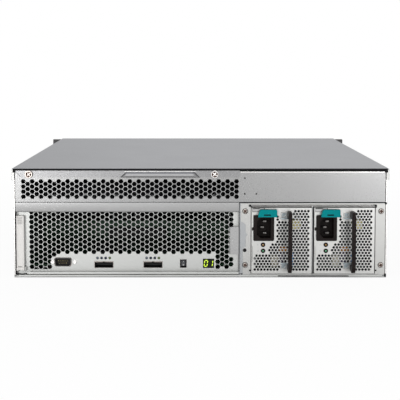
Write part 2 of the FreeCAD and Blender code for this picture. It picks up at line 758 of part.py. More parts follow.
def make_supply_frame():
    frame = new_body("frame_sheet")
    outline = rectangle(frame_left, frame_right, low, frame_top)
    window = rectangle(window_left, window_right, window_low, window_top)
    pad(frame, "XZ", rear, skin, [outline, window])
    depth = size("supply_depth") + size("frame_past_supply") - skin
    start = rear + skin
    wide = window_right - window_left
    tall = window_top - window_low
    middle = (window_left + window_right) / 2
    plate = size("frame_divider")
    tunnel = [
        box("tunnel_floor", window_left - wall, start, low, wide + 2 * wall, depth, wall),
        box("tunnel_roof", window_left - wall, start, window_top, wide + 2 * wall, depth, wall),
        box("tunnel_left", window_left - wall, start, window_low, wall, depth, tall),
        box("tunnel_right", window_right, start, window_low, wall, depth, tall),
        box(
            "tunnel_divider", middle - plate / 2, start + 4 * skin, window_low,
            plate, depth - 8 * skin, tall,
        ),
    ]
    screws = []
    holes = []
    for x in (frame_left + size("frame_screw_inset"), frame_right - size("frame_screw_inset")):
        holes += screw_holes(x)
        for z in (size("frame_screw_low"), size("frame_screw_high")):
            screws.append(pan_head_screw(f"frame_screw_{len(screws) + 1}", x, rear, z, 3 * skin))
    pocket(frame, "XZ", rear - cut_margin, skin + 2 * cut_margin, holes)
    # The relief in the left band, with a pointed notch and a keyhole below it
    relief_x = frame_left + band * 0.22
    deep = relief_x + band * 0.24
    tip = relief_x + band * 0.42
    relief_low = size("relief_low")
    relief_high = relief_low + size("relief_height")
    tip_z = relief_low + size("relief_tip_rise")
    notch = size("relief_tip_half")
    relief = [
        (relief_x, relief_low),
        (deep, relief_low),
        (deep, tip_z - notch),
        (tip, tip_z),
        (deep, tip_z + notch),
        (deep, relief_high - notch),
        (relief_x, relief_high),
    ]
    pocket(frame, "XZ", rear - cut_margin, skin / 2 + cut_margin, [relief])
    keyhole_z = relief_low - size("keyhole_drop")
    keyhole = many_sided(frame_left + band * 0.37, keyhole_z, size("keyhole_radius"), 8)
    pocket(frame, "XZ", rear - cut_margin, skin + 2 * cut_margin, [keyhole])
    node("supply_bay_frame", group("supply_bay_frame", [frame, *tunnel, *screws]))


# Power supplies. Each master is drawn once, with its left lower corner of the face at the origin.

supply_x = [
    window_left + size("supply_side_gap"),
    window_right - size("supply_side_gap") - size("supply_width"),
]
supply_z = window_low + gap


handle_middle = size("handle_x") + size("handle_width") / 2
handle_low_leg = size("handle_low") + size("handle_leg")
handle_high_leg = size("handle_low") + size("handle_height") - size("handle_leg")


def repeat(label, master, x, y, z):
    """A copy of a master at its own place."""
    copy = doc.addObject("Part::Compound", label)
    copy.Links = [master]
    place(copy, x, y, z)
    return node(label, copy)


def make_supply_case():
    case = new_body("supply_case_sheet")
    wide = size("supply_width")
    tall = size("supply_height")
    shell = rectangle(0, wide, 0, tall)
    room = rectangle(thin, wide - thin, thin, tall - thin)
    pad(case, "XZ", 0, size("supply_depth"), [shell, room])
    pad(case, "XZ", 0, skin, [shell])
    inlet_half = size("inlet_flange_width") / 2 - size("inlet_body_margin") + gap
    inlet_rise = size("inlet_flange_height") / 2 - size("inlet_body_margin") + gap
    cx = size("inlet_x")
    cz = size("inlet_z")
    pocket(
        case, "XZ", -cut_margin, skin + 2 * cut_margin,
        [rectangle(cx - inlet_half, cx + inlet_half, cz - inlet_rise, cz + inlet_rise)],
    )
    lamp = size("lamp_hole_radius")
    lamps = [many_sided(size("lamp_x"), size(f"lamp_{end}"), lamp) for end in ("low", "high")]
    pocket(case, "XZ", -cut_margin, skin + 2 * cut_margin, lamps)
    catch_low = size("catch_slot_z") - size("catch_slot_height") / 2
    catch_high = catch_low + size("catch_slot_height")
    catch = rectangle(-cut_margin, size("catch_slot_width"), catch_low, catch_high)
    pocket(case, "XZ", -cut_margin, skin + 2 * cut_margin, [catch])
    # Two brackets, each a plate on the face with an ear that carries the handle's pin
    sheet_thick = size("bracket_thickness")
    ear_reach = size("handle_pivot") + size("handle_pin_radius") + thin
    ear_right = handle_middle + size("handle_pin_radius") + thin
    bracket_left = size("handle_x") - size("bracket_width") - gap
    foot_right = size("handle_x") - gap
    for leg_face, side in ((handle_low_leg, 1), (handle_high_leg, -1)):
        ear_near = leg_face + gap * side
        ear_far = ear_near + sheet_thick * side
        ear_span = (ear_near, ear_far) if side > 0 else (ear_far, ear_near)
        foot_end = ear_far - size("bracket_height") * side
        foot_span = (foot_end, ear_far) if side > 0 else (ear_far, foot_end)
        pad(case, "XZ", -sheet_thick, sheet_thick, [rectangle(bracket_left, foot_right, *foot_span)])
        pad(case, "XZ", -ear_reach, ear_reach, [rectangle(bracket_left, ear_right, *ear_span)])
        pin_end = ear_near - size("handle_leg") / 2 * side
        pin_low, pin_high = (pin_end, ear_near) if side > 0 else (ear_near, pin_end)
        pin = many_sided(handle_middle, -size("handle_pivot"), size("handle_pin_radius"))
        pad(case, "XY", pin_low, pin_high - pin_low, [pin])
    cell = number_of(size("small_vent_pitch"))
    inlet_edge = number_of(cx + size("inlet_flange_width") / 2) + cell / 2
    lamp_edge = number_of(size("lamp_x") + lamp) + cell / 2
    block_top = number_of(size("lamp_low") - lamp) - cell / 2
    latch_edge = number_of(size("latch_low"))
    latch_end = number_of(size("latch_left") + size("latch_width")) + cell / 2
    lamp_top = number_of(cz - size("inlet_flange_height") / 2)
    reach_of_cell = cell / 2
    bracket_edge = number_of(bracket_left) - reach_of_cell
    ear_edge = number_of(ear_right) + reach_of_cell
    low_ear = number_of(handle_low_leg + gap + sheet_thick) + reach_of_cell
    high_ear = number_of(handle_high_leg - gap - sheet_thick) - reach_of_cell

    def clear_of_fittings(x, z):
        if bracket_edge < x < ear_edge and not low_ear < z < high_ear:
            return False
        if x > inlet_edge:
            return z < latch_edge or x > latch_end
        if x > lamp_edge:
            return z < lamp_top - cell / 2
        return z < block_top

    edge = size("small_vent_margin")
    vent = honeycomb(
        "supply_vent_tool", size("small_vent_pitch"), size("small_vent_web"), -cut_margin,
        skin + 2 * cut_margin, edge, wide - edge, edge, tall - edge, clear_of_fittings,
    )
    return cut("supply_case_master", case, vent)


def make_supply_inlet():
    inlet = new_body("inlet_housing")
    cx = size("inlet_x")
    cz = size("inlet_z")
    half = size("inlet_flange_width") / 2
    rise = size("inlet_flange_height") / 2
    plate = size("inlet_flange_thickness")
    margin = size("inlet_body_margin")
    flange = pad(inlet, "XZ", -plate, plate, [rectangle(cx - half, cx + half, cz - rise, cz + rise)])
    corners = edges_along(flange, "Y")
    round_edges(inlet, flange, margin, corners)
    pad(
        inlet, "XZ", 0, size("inlet_depth"),
        [rectangle(cx - half + margin, cx + half - margin, cz - rise + margin, cz + rise - margin)],
    )
    socket = size("socket_width") / 2
    socket_rise = size("socket_height") / 2
    bevel = size("socket_bevel")
    cavity = [
        (cx - socket, cz - socket_rise + bevel),
        (cx - socket + bevel, cz - socket_rise),
        (cx + socket, cz - socket_rise),
        (cx + socket, cz + socket_rise),
        (cx - socket + bevel, cz + socket_rise),
        (cx - socket, cz + socket_rise - bevel),
    ]
    pocket(inlet, "XZ", -plate - cut_margin, size("socket_depth") + cut_margin, [cavity])
    floor = size("socket_depth") - plate
    blades = []
    tip = floor - size("blade_length")
    offset = size("blade_offset")
    spread = size("blade_spacing") / 2
    wide = size("blade_width")
    thick = size("blade_thickness")
    for number, (dx, dz) in enumerate(((offset, spread), (offset, -spread), (-offset, 0)), start=1):
        blades.append(
            box(
                f"inlet_blade_{number}", cx + dx - wide / 2, tip, cz + dz - thick / 2,
                wide, size("blade_length"), thick,
            )
        )
    return group("inlet_master", [inlet, *blades])


def make_supply_handle():
    """The bail: a bar on two legs, each with a bevelled heel and a bore for its pin."""
    handle = new_body("handle_bow")
    reach = size("handle_reach")
    bottom = size("handle_low")
    top = bottom + size("handle_height")
    inner = -reach + size("handle_bar")
    half = size("handle_width") / 2
    heel = -size("handle_pivot") + half
    bow = [
        (heel, bottom),
        (-reach, bottom),
        (-reach, top),
        (heel, top),
        (heel, handle_high_leg),
        (inner, handle_high_leg),
        (inner, handle_low_leg),
        (heel, handle_low_leg),
    ]
    arch = pad(handle, "YZ", size("handle_x"), size("handle_width"), [bow])
    far = number_of(-reach) + 0.1
    near = number_of(inner)
    corners = edges_along(arch, "X", lambda middle: middle.y < far)
    rounded = round_edges(handle, arch, size("handle_round"), corners)
    inside = edges_along(rounded, "X", lambda middle: abs(middle.y - near) < 0.1)
    inner_round = round_edges(handle, rounded, size("handle_round") / 2, inside)
    end = number_of(heel) - 0.1
    bevel = handle.newObject("PartDesign::Chamfer", "heel_bevel")
    bevel.Base = (inner_round, edges_along(inner_round, "Z", lambda middle: middle.y > end))
    bind(bevel, "Size", half * 0.55)
    bore = many_sided(handle_middle, -size("handle_pivot"), size("handle_pin_radius") * 1.3)
    depth = size("handle_leg") / 2 + 2 * gap
    pocket(handle, "XY", handle_low_leg - depth, depth + cut_margin, [bore])
    pocket(handle, "XY", handle_high_leg - cut_margin, depth + cut_margin, [bore])
    return handle


def make_supply_latch():
    latch = new_body("latch_tab")
    left = size("latch_left")
    right = left + size("latch_width")
    bottom = size("latch_low")
    top = bottom + size("latch_height")
    reach = size("latch_reach")
    lift = size("latch_lift")
    slant = size("latch_height") / 5
    face = [(left, bottom), (right, bottom), (right, top), (left + slant, top)]
    tab = pad(latch, "XZ", -reach, reach - lift, [face])
    far = number_of(-reach) + 0.1
    round_edges(latch, tab, size("latch_round"), edges_along(tab, "X", lambda middle: middle.y < far))
    spring = size("latch_spring")
    strip_low = top - size("latch_strip_height") * 0.7
    strip_high = strip_low + size("latch_strip_height")
    strip = rectangle(size("latch_strip_left"), left + 4 * slant, strip_low, strip_high)
    pad(latch, "XZ", -gap - spring, spring, [strip])
    root = rectangle(left + 2 * slant, left + 4 * slant, strip_low, top)
    pad(latch, "XZ", -lift - spring, lift + spring - gap, [root])
    # A finger scoop in the lower edge
    middle = left + size("latch_width") / 2
    scoop = size("latch_width") / 6
    pocket(
        latch, "XZ", -reach - cut_margin, cut_margin + spring,
        [rectangle(middle - scoop, middle + scoop, bottom + 2 * spring, bottom + 3.2 * spring)],
    )
    return latch


strut_depth = size("strut_depth")
strut_width = size("strut_width")
blade_sheet = number_of(size("blade_sheet"))


def blade_ring(label, hub, tip, depth, count, pitch_angle):
    """A fan rotor about +Y: a closed hub cup and blades set at an angle."""
    radius = number_of(tip)
    core = number_of(hub)
    long = number_of(depth)
    sunk = core * 0.1
    chord = long / math.cos(math.radians(pitch_angle)) * 0.8
    half_swing = chord / 2 * math.sin(math.radians(pitch_angle)) + blade_sheet
    straight_tip = math.sqrt(radius**2 - half_swing**2)
    solid = Part.makeCylinder(core, long, FreeCAD.Vector(), FreeCAD.Vector(0, 1, 0))
    blades = []
    for number in range(count):
        corner = FreeCAD.Vector(core - sunk, -chord / 2, -blade_sheet / 2)
        blade = Part.makeBox(straight_tip - core + sunk, chord, blade_sheet, corner)
        blade.rotate(FreeCAD.Vector(), FreeCAD.Vector(1, 0, 0), pitch_angle)
        blade.translate(FreeCAD.Vector(0, long / 2, 0))
        blade.rotate(FreeCAD.Vector(), FreeCAD.Vector(0, 1, 0), 360.0 * number / count)
        blades.append(blade)
    rotor = doc.addObject("Part::Feature", label)
    rotor.Shape = solid.multiFuse(blades)
    return rotor


def fan_housing(label, span, depth, bore, hub):
    """A square fan frame about +Y with its motor seat on four struts, its low corner at the origin."""
    housing = new_body(label)
    centre = span / 2
    half = strut_width / 2
    pad(housing, "XZ", 0, depth, [rectangle(0, span, 0, span), disc(centre, centre, bore)])
    pad(housing, "XZ", 0, strut_depth, [disc(centre, centre, hub)])
    inset = (centre - bore) / 2
    end = span - inset
    pad(housing, "XZ", 0, strut_depth, [rectangle(centre - half, centre + half, inset, end)])
    pad(housing, "XZ", 0, strut_depth, [rectangle(inset, end, centre - half, centre + half)])
    return housing


supply_fan_z = thin + gap
supply_fan_x = (size("supply_width") - size("supply_fan_size")) / 2
supply_fan_y = size("supply_depth") - size("supply_fan_depth") - gap
supply_hub = size("supply_rotor_radius") * 0.42


def make_supply_inside():
    """Circuit board, transformer, heat sinks, capacitors and the fan frame."""
    deck = thin + gap
    thick = size("board_thickness")
    wide = size("supply_width")
    start = size("inlet_depth") + 4 * thin
    board_length = supply_fan_y - start - 2 * thin
    top = deck + thick
    tall = size("supply_height") - top
    middle = wide * 0.36
    near = start + size("transformer_gap")
    sink = 3 * thin
    parts = [
        box("supply_board", 2 * thin, start, deck, wide - 4 * thin, board_length, thick),
        box("transformer", wide * 0.56, near, top, wide * 0.36, board_length * 0.2, tall * 0.76),
        box("heat_sink_near", 4 * thin, near, top, sink, board_length * 0.6, tall * 0.55),
        box(
            "heat_sink_far", wide - 8 * thin, start + board_length * 0.28, top,
            sink, board_length * 0.5, tall * 0.66,
        ),
        box(
            "filter_choke", middle - wide * 0.1, start + board_length * 0.14, top,
            wide * 0.2, wide * 0.22, tall * 0.4,
        ),
        box("relay", middle - wide * 0.1, near, top, wide * 0.2, wide * 0.18, tall * 0.24),
        rod("capacitor", "Z", middle, start + board_length * 0.42, top, wide * 0.15, tall * 0.52),
    ]
    fan = fan_housing(
        "supply_fan_housing", size("supply_fan_size"), size("supply_fan_depth"),
        size("supply_rotor_radius") + 1.0, supply_hub,
    )
    parts.append(place(fan, supply_fan_x, supply_fan_y, supply_fan_z))
    return group("supply_inside_master", parts)


def make_supplies():
    masters = {
        "supply_case": make_supply_case(),
        "supply_inlet": make_supply_inlet(),
        "supply_handle": make_supply_handle(),
        "supply_latch": make_supply_latch(),
        "supply_inside": make_supply_inside(),
    }
    rotor = blade_ring(
        "supply_rotor_master", supply_hub, size("supply_rotor_radius"),
        size("supply_fan_depth") - strut_depth - 2 * gap, 7, 50,
    )
    middle = size("supply_fan_size") / 2
    for number, x in enumerate(supply_x, start=1):
        for name, master in masters.items():
            repeat(f"{name}_{number}", master, x, rear, supply_z)
        repeat(
            f"supply_rotor_{number}", rotor, x + supply_fan_x + middle,
            rear + supply_fan_y + strut_depth + gap, supply_z + supply_fan_z + middle,
        )


# Controller module: tray, perforated face, circuit board, ports, rocker and ejector

module_low = size("sill_height") + gap
module_top = module_low + size("module_height")
module_depth = plug_board_y - size("module_end_gap") - module_face - skin
module_plug_x = module_left + size("module_width") / 2
pivot_y = module_face - size("module_recess") / 2
pivot_z = size("ejector_low") + size("ejector_thickness") / 2 + thin
ejector_left = size("ejector_left")
ejector_right = ejector_left + size("ejector_width")


def make_module_face():
    face = new_body("module_face_sheet")
    strip_low = module_top - size("lip_strip_height")
    profile = [
        (module_face, module_low),
        (module_face + skin, module_low),
        (module_face + skin, strip_low + skin),
        (rear + skin, strip_low + skin),
        (rear + skin, module_top),
        (rear, module_top),
        (rear, strip_low),
        (module_face, strip_low),
    ]
    pad(face, "YZ", module_left, size("module_width"), [profile])
    lip_top = module_low + size("module_lip_height")
    lip = [
        (rear, module_low),
        (module_face + skin / 2, module_low),
        (module_face + skin / 2, module_low + thin),
        (rear + skin, module_low + thin),
        (rear + skin, lip_top),
        (rear, lip_top),
    ]
    lip_left = size("module_lip_left")
    pad(face, "YZ", lip_left, module_right - lip_left, [lip])
    tab_left = size("pull_tab_left")
    tab_right = tab_left + size("pull_tab_width")
    tab_front = rear + gap
    hook = [
        (tab_left, module_face + skin / 2),
        (tab_left, tab_front),
        (tab_right, tab_front),
        (tab_right, tab_front + skin),
        (tab_left + skin, tab_front + skin),
        (tab_left + skin, module_face + skin / 2),
    ]
    pad(face, "XY", size("pull_tab_low"), size("pull_tab_height"), [hook])
    # A lug carries the ejector's pin
    lug_thick = size("ejector_lug")
    lug_half = size("ejector_pin_radius") + size("ejector_lug_wall")
    lug = rectangle(pivot_y - lug_half, module_face + skin / 2, pivot_z - lug_half, pivot_z + lug_half)
    lug_x = ejector_right + gap
    pad(face, "YZ", lug_x, lug_thick, [lug])
    pin_left = ejector_left + gap
    pin = disc(pivot_y, pivot_z, size("ejector_pin_radius"))
    pad(face, "YZ", pin_left, lug_x + lug_thick / 2 - pin_left, [pin])

    def window(x, z, half, rise):
        return rectangle(x - half, x + half, z - rise, z + rise)

    windows = [
        window(size(f"{item}_x"), size(f"{item}_z"), size(f"{item}_width") / 2, size(f"{item}_height") / 2)
        for item in ("serial", "rocker", "display")
    ]
    for x in (size("link_left_x"), size("link_right_x")):
        windows.append(window(x, size("link_z"), size("link_width") / 2, size("link_height") / 2))
    for x in lens_places():
        windows.append(window(x, size("lens_z"), size("lens_radius"), size("lens_radius")))
    pocket(face, "XZ", module_face - cut_margin, skin + 2 * cut_margin, windows)
    limit_left = number_of(size("corner_vent_left"))
    limit_right = number_of(size("corner_vent_right"))
    full_low = number_of(size("module_vent_low"))
    tab_edge = number_of(tab_left - size("vent_pitch") / 2)
    tab_low = number_of(size("pull_tab_low") - size("vent_pitch") / 2)
    tab_high = number_of(size("pull_tab_low") + size("pull_tab_height") + size("vent_pitch") / 2)

    def in_vent(x, z):
        if x > tab_edge and tab_low < z < tab_high:
            return False
        return z >= full_low - 0.1 or x < limit_left or x > limit_right

    vent = honeycomb(
        "module_vent_tool", size("vent_pitch"), size("vent_web"), module_face - cut_margin,
        skin + 2 * cut_margin, size("module_vent_left"), size("module_vent_right"),
        size("module_vent_foot"), size("module_vent_high"), in_vent,
    )
    node("module_face", cut("module_face", face, vent))


def lens_places():
    """The four small lamps above each link port."""
    spots = []
    for x in (size("link_left_x"), size("link_right_x")):
        for step in (-1.5, -0.5, 0.5, 1.5):
            spots.append(x + size("lens_step") * step - gap)
    return spots


def make_module_tray():
    tray = new_body("module_tray")
    start = module_face + skin
    floor = rectangle(module_left, module_right, module_low, module_low + thin)
    pad(tray, "XZ", start, module_depth, [floor])
    wall_top = module_low + size("tray_wall_height")
    pad(tray, "XZ", start, module_depth, [rectangle(module_left, module_left + thin, module_low, wall_top)])
    pad(tray, "XZ", start, module_depth, [rectangle(module_right - thin, module_right, module_low, wall_top)])
    node("module_tray", tray)


def make_module_board():
    """Board with its midplane plug, two chips under heat sinks, the display and the small lamps."""
    start = module_face + skin + size("link_depth")
    length = module_depth - size("link_depth") - 2 * thin
    left = module_left + 3 * thin
    width = size("module_width") - 6 * thin
    base = size("board_z")
    thick = size("board_thickness")
    top = base + thick
    parts = [box("controller_board", left, start, base, width, length, thick)]
    post_z = module_low + thin
    for side, share in (("left", 0.1), ("right", 0.85)):
        rail_x = left + width * share
        parts.append(box(f"board_rail_{side}", rail_x, start, post_z, width * 0.05, length, base - post_z))
    sink = width * 0.14
    parts.append(box("expander_sink", left + width * 0.3, start + length * 0.35, top, sink, sink, sink / 3))
    chip = sink * 0.8
    parts.append(box("processor_sink", left + width * 0.62, start + length * 0.4, top, chip, chip, sink / 4))
    plug_half = size("module_plug_width") / 2
    plug = size("plug_height")
    parts.append(
        box(
            "module_plug", module_plug_x - plug_half, plug_board_y - gap - plug, top,
            2 * plug_half, plug / 2, plug,
        )
    )
    shown = module_face - gap
    half = size("display_width") / 2 - gap / 2
    rise = size("display_height") / 2 - gap / 2
    parts.append(
        box(
            "digit_display", size("display_x") - half, shown, size("display_z") - rise,
            2 * half, size("display_depth"), 2 * rise,
        )
    )
    lens = size("lens_radius") - gap / 2
    for number, x in enumerate(lens_places(), start=1):
        parts.append(
            box(
                f"small_lamp_{number}", x - lens, shown, size("lens_z") - lens,
                2 * lens, size("lens_length"), 2 * lens,
            )
        )
    node("module_board", group("module_board", parts))


def make_module_ports():
    parts = []
    shell = new_body("serial_shell")
    play = gap / 2
    half = size("serial_width") / 2 - play
    rise = size("serial_height") / 2 - play
    cx = size("serial_x")
    cz = size("serial_z")
    slant = size("serial_slant")
    rim = size("serial_rim")
    shown = module_face - size("serial_reach")

    def d_shape(margin):
        return [
            (cx - half + slant + margin, cz - rise + margin),
            (cx + half - slant - margin, cz - rise + margin),
            (cx + half - margin, cz + rise - margin),
            (cx - half + margin, cz + rise - margin),
        ]

    pad(shell, "XZ", shown, size("serial_depth"), [d_shape(0)])
    flange_half = size("serial_flange_width") / 2
    flange_rise = size("serial_flange_height") / 2
    pad(
        shell, "XZ", module_face + skin, size("serial_flange_depth"),
        [rectangle(cx - flange_half, cx + flange_half, cz - flange_rise, cz + flange_rise)],
    )
    cavity_depth = size("serial_cavity")
    pocket(shell, "XZ", shown - cut_margin, cavity_depth + cut_margin, [d_shape(rim)])
    parts.append(shell)
    pin = size("serial_pin")
    long = size("serial_pin_length")
    for row, count in ((1, 5), (-1, 4)):
        z = cz + size("serial_row_step") / 2 * row - pin / 2
        for number in range(count):
            x = cx + size("serial_pin_step") * (number - (count - 1) / 2) - pin / 2
            parts.append(
                box(f"serial_pin_{row}_{number}", x, shown + cavity_depth - long, z, pin, long, pin)
            )
    for name in ("link_left", "link_right"):
        x = size(f"{name}_x")
        port = new_body(f"{name}_port")
        span = size("link_width") / 2 - play
        tall = size("link_height") / 2 - play
        inner = size("link_wall")
        z = size("link_z")
        mouth = module_face - size("link_reach")
        pad(port, "XZ", mouth, size("link_depth"), [rectangle(x - span, x + span, z - tall, z + tall)])
        pocket(
            port, "XZ", mouth - cut_margin, size("link_depth") * 0.75,
            [rectangle(x - span + inner, x + span - inner, z - tall + inner, z + tall - inner)],
        )
        tongue = size("link_tongue") / 2
        inset = size("link_tongue_inset")
        pad(
            port, "XZ", module_face + inset, size("link_depth") * 0.7,
            [rectangle(x - span + inset, x + span - inset, z - tongue, z + tongue)],
        )
        parts.append(port)
    frame = new_body("rocker_frame")
    half = size("rocker_width") / 2 - play
    rise = size("rocker_height") / 2 - play
    edge = size("rocker_wall")
    x = size("rocker_x")
    z = size("rocker_z")
    shown = module_face - size("rocker_reach")
    pad(
        frame, "XZ", shown, size("rocker_depth") + size("rocker_reach"),
        [rectangle(x - half, x + half, z - rise, z + rise)],
    )
    pocket(
        frame, "XZ", shown - cut_margin, size("rocker_depth") - thin + cut_margin,
        [rectangle(x - half + edge, x + half - edge, z - rise + edge, z + rise - edge)],
    )
    parts.append(frame)
    node("module_ports", group("module_ports", parts))


rocker_y = module_face + size("rocker_pivot")
rocker_tilt = 10


def make_rocker():
    """The rocker paddle, tipped so that its upper half is in."""
    paddle = new_body("rocker_paddle")
    play = gap / 2
    half = size("rocker_width") / 2 - play - size("rocker_wall") - size("rocker_play")
    rise = size("rocker_height") / 2 - play - size("rocker_wall") - size("rocker_play") * 3
    nose = size("rocker_nose")
    wedge = [
        (-nose, -rise),
        (-size("rocker_waist"), 0),
        (-nose, rise),
        (0, rise * 0.5),
        (size("rocker_wall"), 0),
        (0, -rise * 0.5),
    ]
    pad(paddle, "YZ", -half, 2 * half, [wedge])
    place(paddle, size("rocker_x"), rocker_y, size("rocker_z"))
    paddle.Placement.Rotation = FreeCAD.Rotation(FreeCAD.Vector(1, 0, 0), -rocker_tilt)
    node("power_rocker", paddle)


def make_ejector():
    """The ejector lever: a bar with a round heel that turns on the lugs' pin."""
    lever = new_body("ejector_lever")
    heel = size("ejector_thickness") / 2 + gap
    bar_rear = pivot_y - size("ejector_thickness") / 2
    bar_front = bar_rear + size("ejector_thickness") * 0.75
    top = size("ejector_low") + size("ejector_length")
    bar = [(bar_rear, pivot_z), (bar_front, pivot_z), (bar_front, top), (bar_rear, top)]
    lip = pad(lever, "YZ", ejector_left, size("ejector_width"), [bar])
    far = number_of(top) - 0.1
    crown = edges_along(lip, "X", lambda middle: middle.z > far and middle.y < number_of(bar_front) - 0.1)
    round_edges(lever, lip, size("ejector_thickness") / 3, crown)
    pad(lever, "YZ", ejector_left, size("ejector_width"), [disc(pivot_y, pivot_z, heel)])
    # The bar is a channel, open towards the module face
    side = skin
    pocket(
        lever, "XZ", bar_rear + side, size("ejector_thickness"),
        [rectangle(ejector_left + side, ejector_right - side, pivot_z + heel + thin, top - 2 * side)],
    )
    bore = disc(pivot_y, pivot_z, size("ejector_pin_radius") + size("pin_play"))
    pocket(lever, "YZ", ejector_left - cut_margin, size("ejector_width") + 2 * cut_margin, [bore])
    node("module_ejector", lever)


# Chassis fans between the module and the midplane

midplane_y = front - size("midplane_from_front")
fan_y = midplane_y - size("fan_gap") - size("fan_depth")


def make_fans():
    span = size("fan_size")
    housings = []
    rotor = blade_ring(
        "fan_rotor_master", size("fan_hub_radius"), size("fan_rotor_radius"),
        size("fan_depth") - strut_depth - 2 * gap, 7, 52,
    )
    for number in range(2):
        centre = size("fan_left_x") + size("fan_step") * number
        housing = fan_housing(
            f"fan_housing_{number + 1}", span, size("fan_depth"), size("fan_bore_radius"),
            size("fan_hub_radius"),
        )
        housings.append(place(housing, centre - span / 2, fan_y, skin + gap))
        repeat(
            f"fan_rotor_{number + 1}", rotor, centre, fan_y + strut_depth + gap, skin + gap + span / 2
        )
    node("fan_housings", group("fan_housings", housings))


# Drive cage, midplane and the sixteen carriers

columns = int(float(sheet.get("bay_columns")))
rows = int(float(sheet.get("bay_rows")))
cage_low = skin + size("cage_floor_gap")
cage_left = -size("bay_width") * columns / 2
cage_y = front - gap * 2 - size("cage_depth")
cage_wall = size("cage_wall")
rail = size("rail_thickness")


def bay_x(column):
    return cage_left + size("bay_width") * (column + 0.5)


def bay_z(row):
    """Underside of the carrier tray in a row, just above its rails."""
    return cage_low + cage_wall + size("bay_height") * row + rail + gap


def make_cage():
    cage = new_body("drive_cage")
    half_wall = cage_wall / 2
    cage_top = cage_low + 2 * cage_wall + size("bay_height") * rows
    depth = size("cage_depth")
    outline = rectangle(cage_left - half_wall, -cage_left + half_wall, cage_low, cage_top)
    pad(cage, "XZ", cage_y, depth, [outline])
    left = cage_left + half_wall
    right = left + size("bay_width") - cage_wall
    foot = cage_low + cage_wall
    column = [rectangle(left, right, foot, cage_top - cage_wall)]
    opening = pocket(cage, "XZ", cage_y - cut_margin, depth + 2 * cut_margin, column)
    repeat_feature(cage, opening, ["X"], [size("bay_width")], [size("bay_columns")])
    sink = half_wall / 2
    ledges = [
        rectangle(left - sink, left + size("rail_width"), foot, foot + rail),
        rectangle(right - size("rail_width"), right + sink, foot, foot + rail),
    ]
    runner = pad(cage, "XZ", cage_y, depth, ledges)
    steps = [size("bay_width"), size("bay_height")]
    repeat_feature(cage, runner, ["X", "Z"], steps, [size("bay_columns"), size("bay_rows")])
    node("drive_cage", cage)


def make_midplane():
    """The drives' midplane, and the board that the module and the supplies plug into."""
    board = new_body("midplane_board")
    margin = 2 * gap
    left = -inner_half + margin
    right = inner_half - margin
    thick = size("midplane_thickness")
    pad(board, "XZ", midplane_y, thick, [rectangle(left, right, skin + gap, tub_top - 4 * gap)])
    air_half = size("bay_width") * 0.4
    air_low = bay_z(0) + size("drive_height") / 2
    air_high = air_low + size("drive_height") / 3
    air = rectangle(bay_x(0) - air_half, bay_x(0) + air_half, air_low, air_high)
    slot = pocket(board, "XZ", midplane_y - cut_margin, thick + 2 * cut_margin, [air])
    steps = [size("bay_width"), size("bay_height")]
    repeat_feature(board, slot, ["X", "Z"], steps, [size("bay_columns"), size("bay_rows")])
    parts = [board]
    reach = cage_y - midplane_y - thick + 3 * thin
    for column in range(columns):
        for row in range(rows):
            parts.append(
                box(
                    f"drive_socket_{column}_{row}", bay_x(column) - size("plug_width"), midplane_y + thick,
                    bay_z(row) + 2 * thin, size("plug_width"), reach, size("plug_height") / 2,
                )
            )
    plug_low = skin + gap
    high = size("plug_board_height")
    parts.append(box("plug_board", left, plug_board_y, plug_low, right - left, thick, high))
    socket = size("plug_height")
    plug_half = size("module_plug_width") / 2
    reach = socket / 2 - gap
    parts.append(
        box(
            "module_socket", module_plug_x - plug_half, plug_board_y - reach, size("board_z") + thick,
            2 * plug_half, reach, socket,
        )
    )
    for number, x in enumerate(supply_x, start=1):
        near = rear + size("supply_depth") + gap
        socket_x = x + (size("supply_width") - size("plug_width")) / 2
        parts.append(
            box(
                f"supply_socket_{number}", socket_x, near, plug_low + socket / 2,
                size("plug_width"), plug_board_y - near, socket,
            )
        )
    node("midplane", group("midplane", parts))


def make_carrier():
    """One drive carrier: bezel and tray in one piece, and the drive that lies in it."""
    carrier = new_body("carrier_frame")
    half = size("carrier_width") / 2
    low_edge = -gap
    high_edge = low_edge + size("carrier_height")
    deep = size("bezel_depth")
    edge = size("bezel_wall")
    pad(carrier, "XZ", 0, deep, [rectangle(-half, half, low_edge, high_edge)])
    recess_left = size("lever_pivot_x") - size("lever_thickness") / 2 - skin
    recess_right = size("lever_pivot_x") + size("lever_length") + skin
    floor = size("bezel_floor")
    recess = rectangle(recess_left, recess_right, low_edge + edge, high_edge - edge)
    pocket(carrier, "XZ", floor, deep, [recess])
    vent_half = size("carrier_vent") / 2
    vent_low = low_edge + size("carrier_height") / 2 - 2 * edge
    vent = rectangle(-vent_half, vent_half, vent_low, vent_low + 4 * edge)
    pocket(carrier, "XZ", -cut_margin, floor + 2 * cut_margin, [vent])
    tray_half = size("tray_width") / 2
    long = size("tray_length")
    trough = [
        (-tray_half, 0),
        (tray_half, 0),
        (tray_half, size("tray_side")),
        (tray_half - thin, size("tray_side")),
        (tray_half - thin, thin),
        (thin - tray_half, thin),
        (thin - tray_half, size("tray_side")),
        (-tray_half, size("tray_side")),
    ]
    pad(carrier, "XZ", -long, long, [trough])
    drive = box(
        "disk_drive", -size("drive_width") / 2, -size("drive_length") - gap, thin + gap,
        size("drive_width"), size("drive_length"), size("drive_height"),
    )
    return group("carrier_master", [carrier, drive])


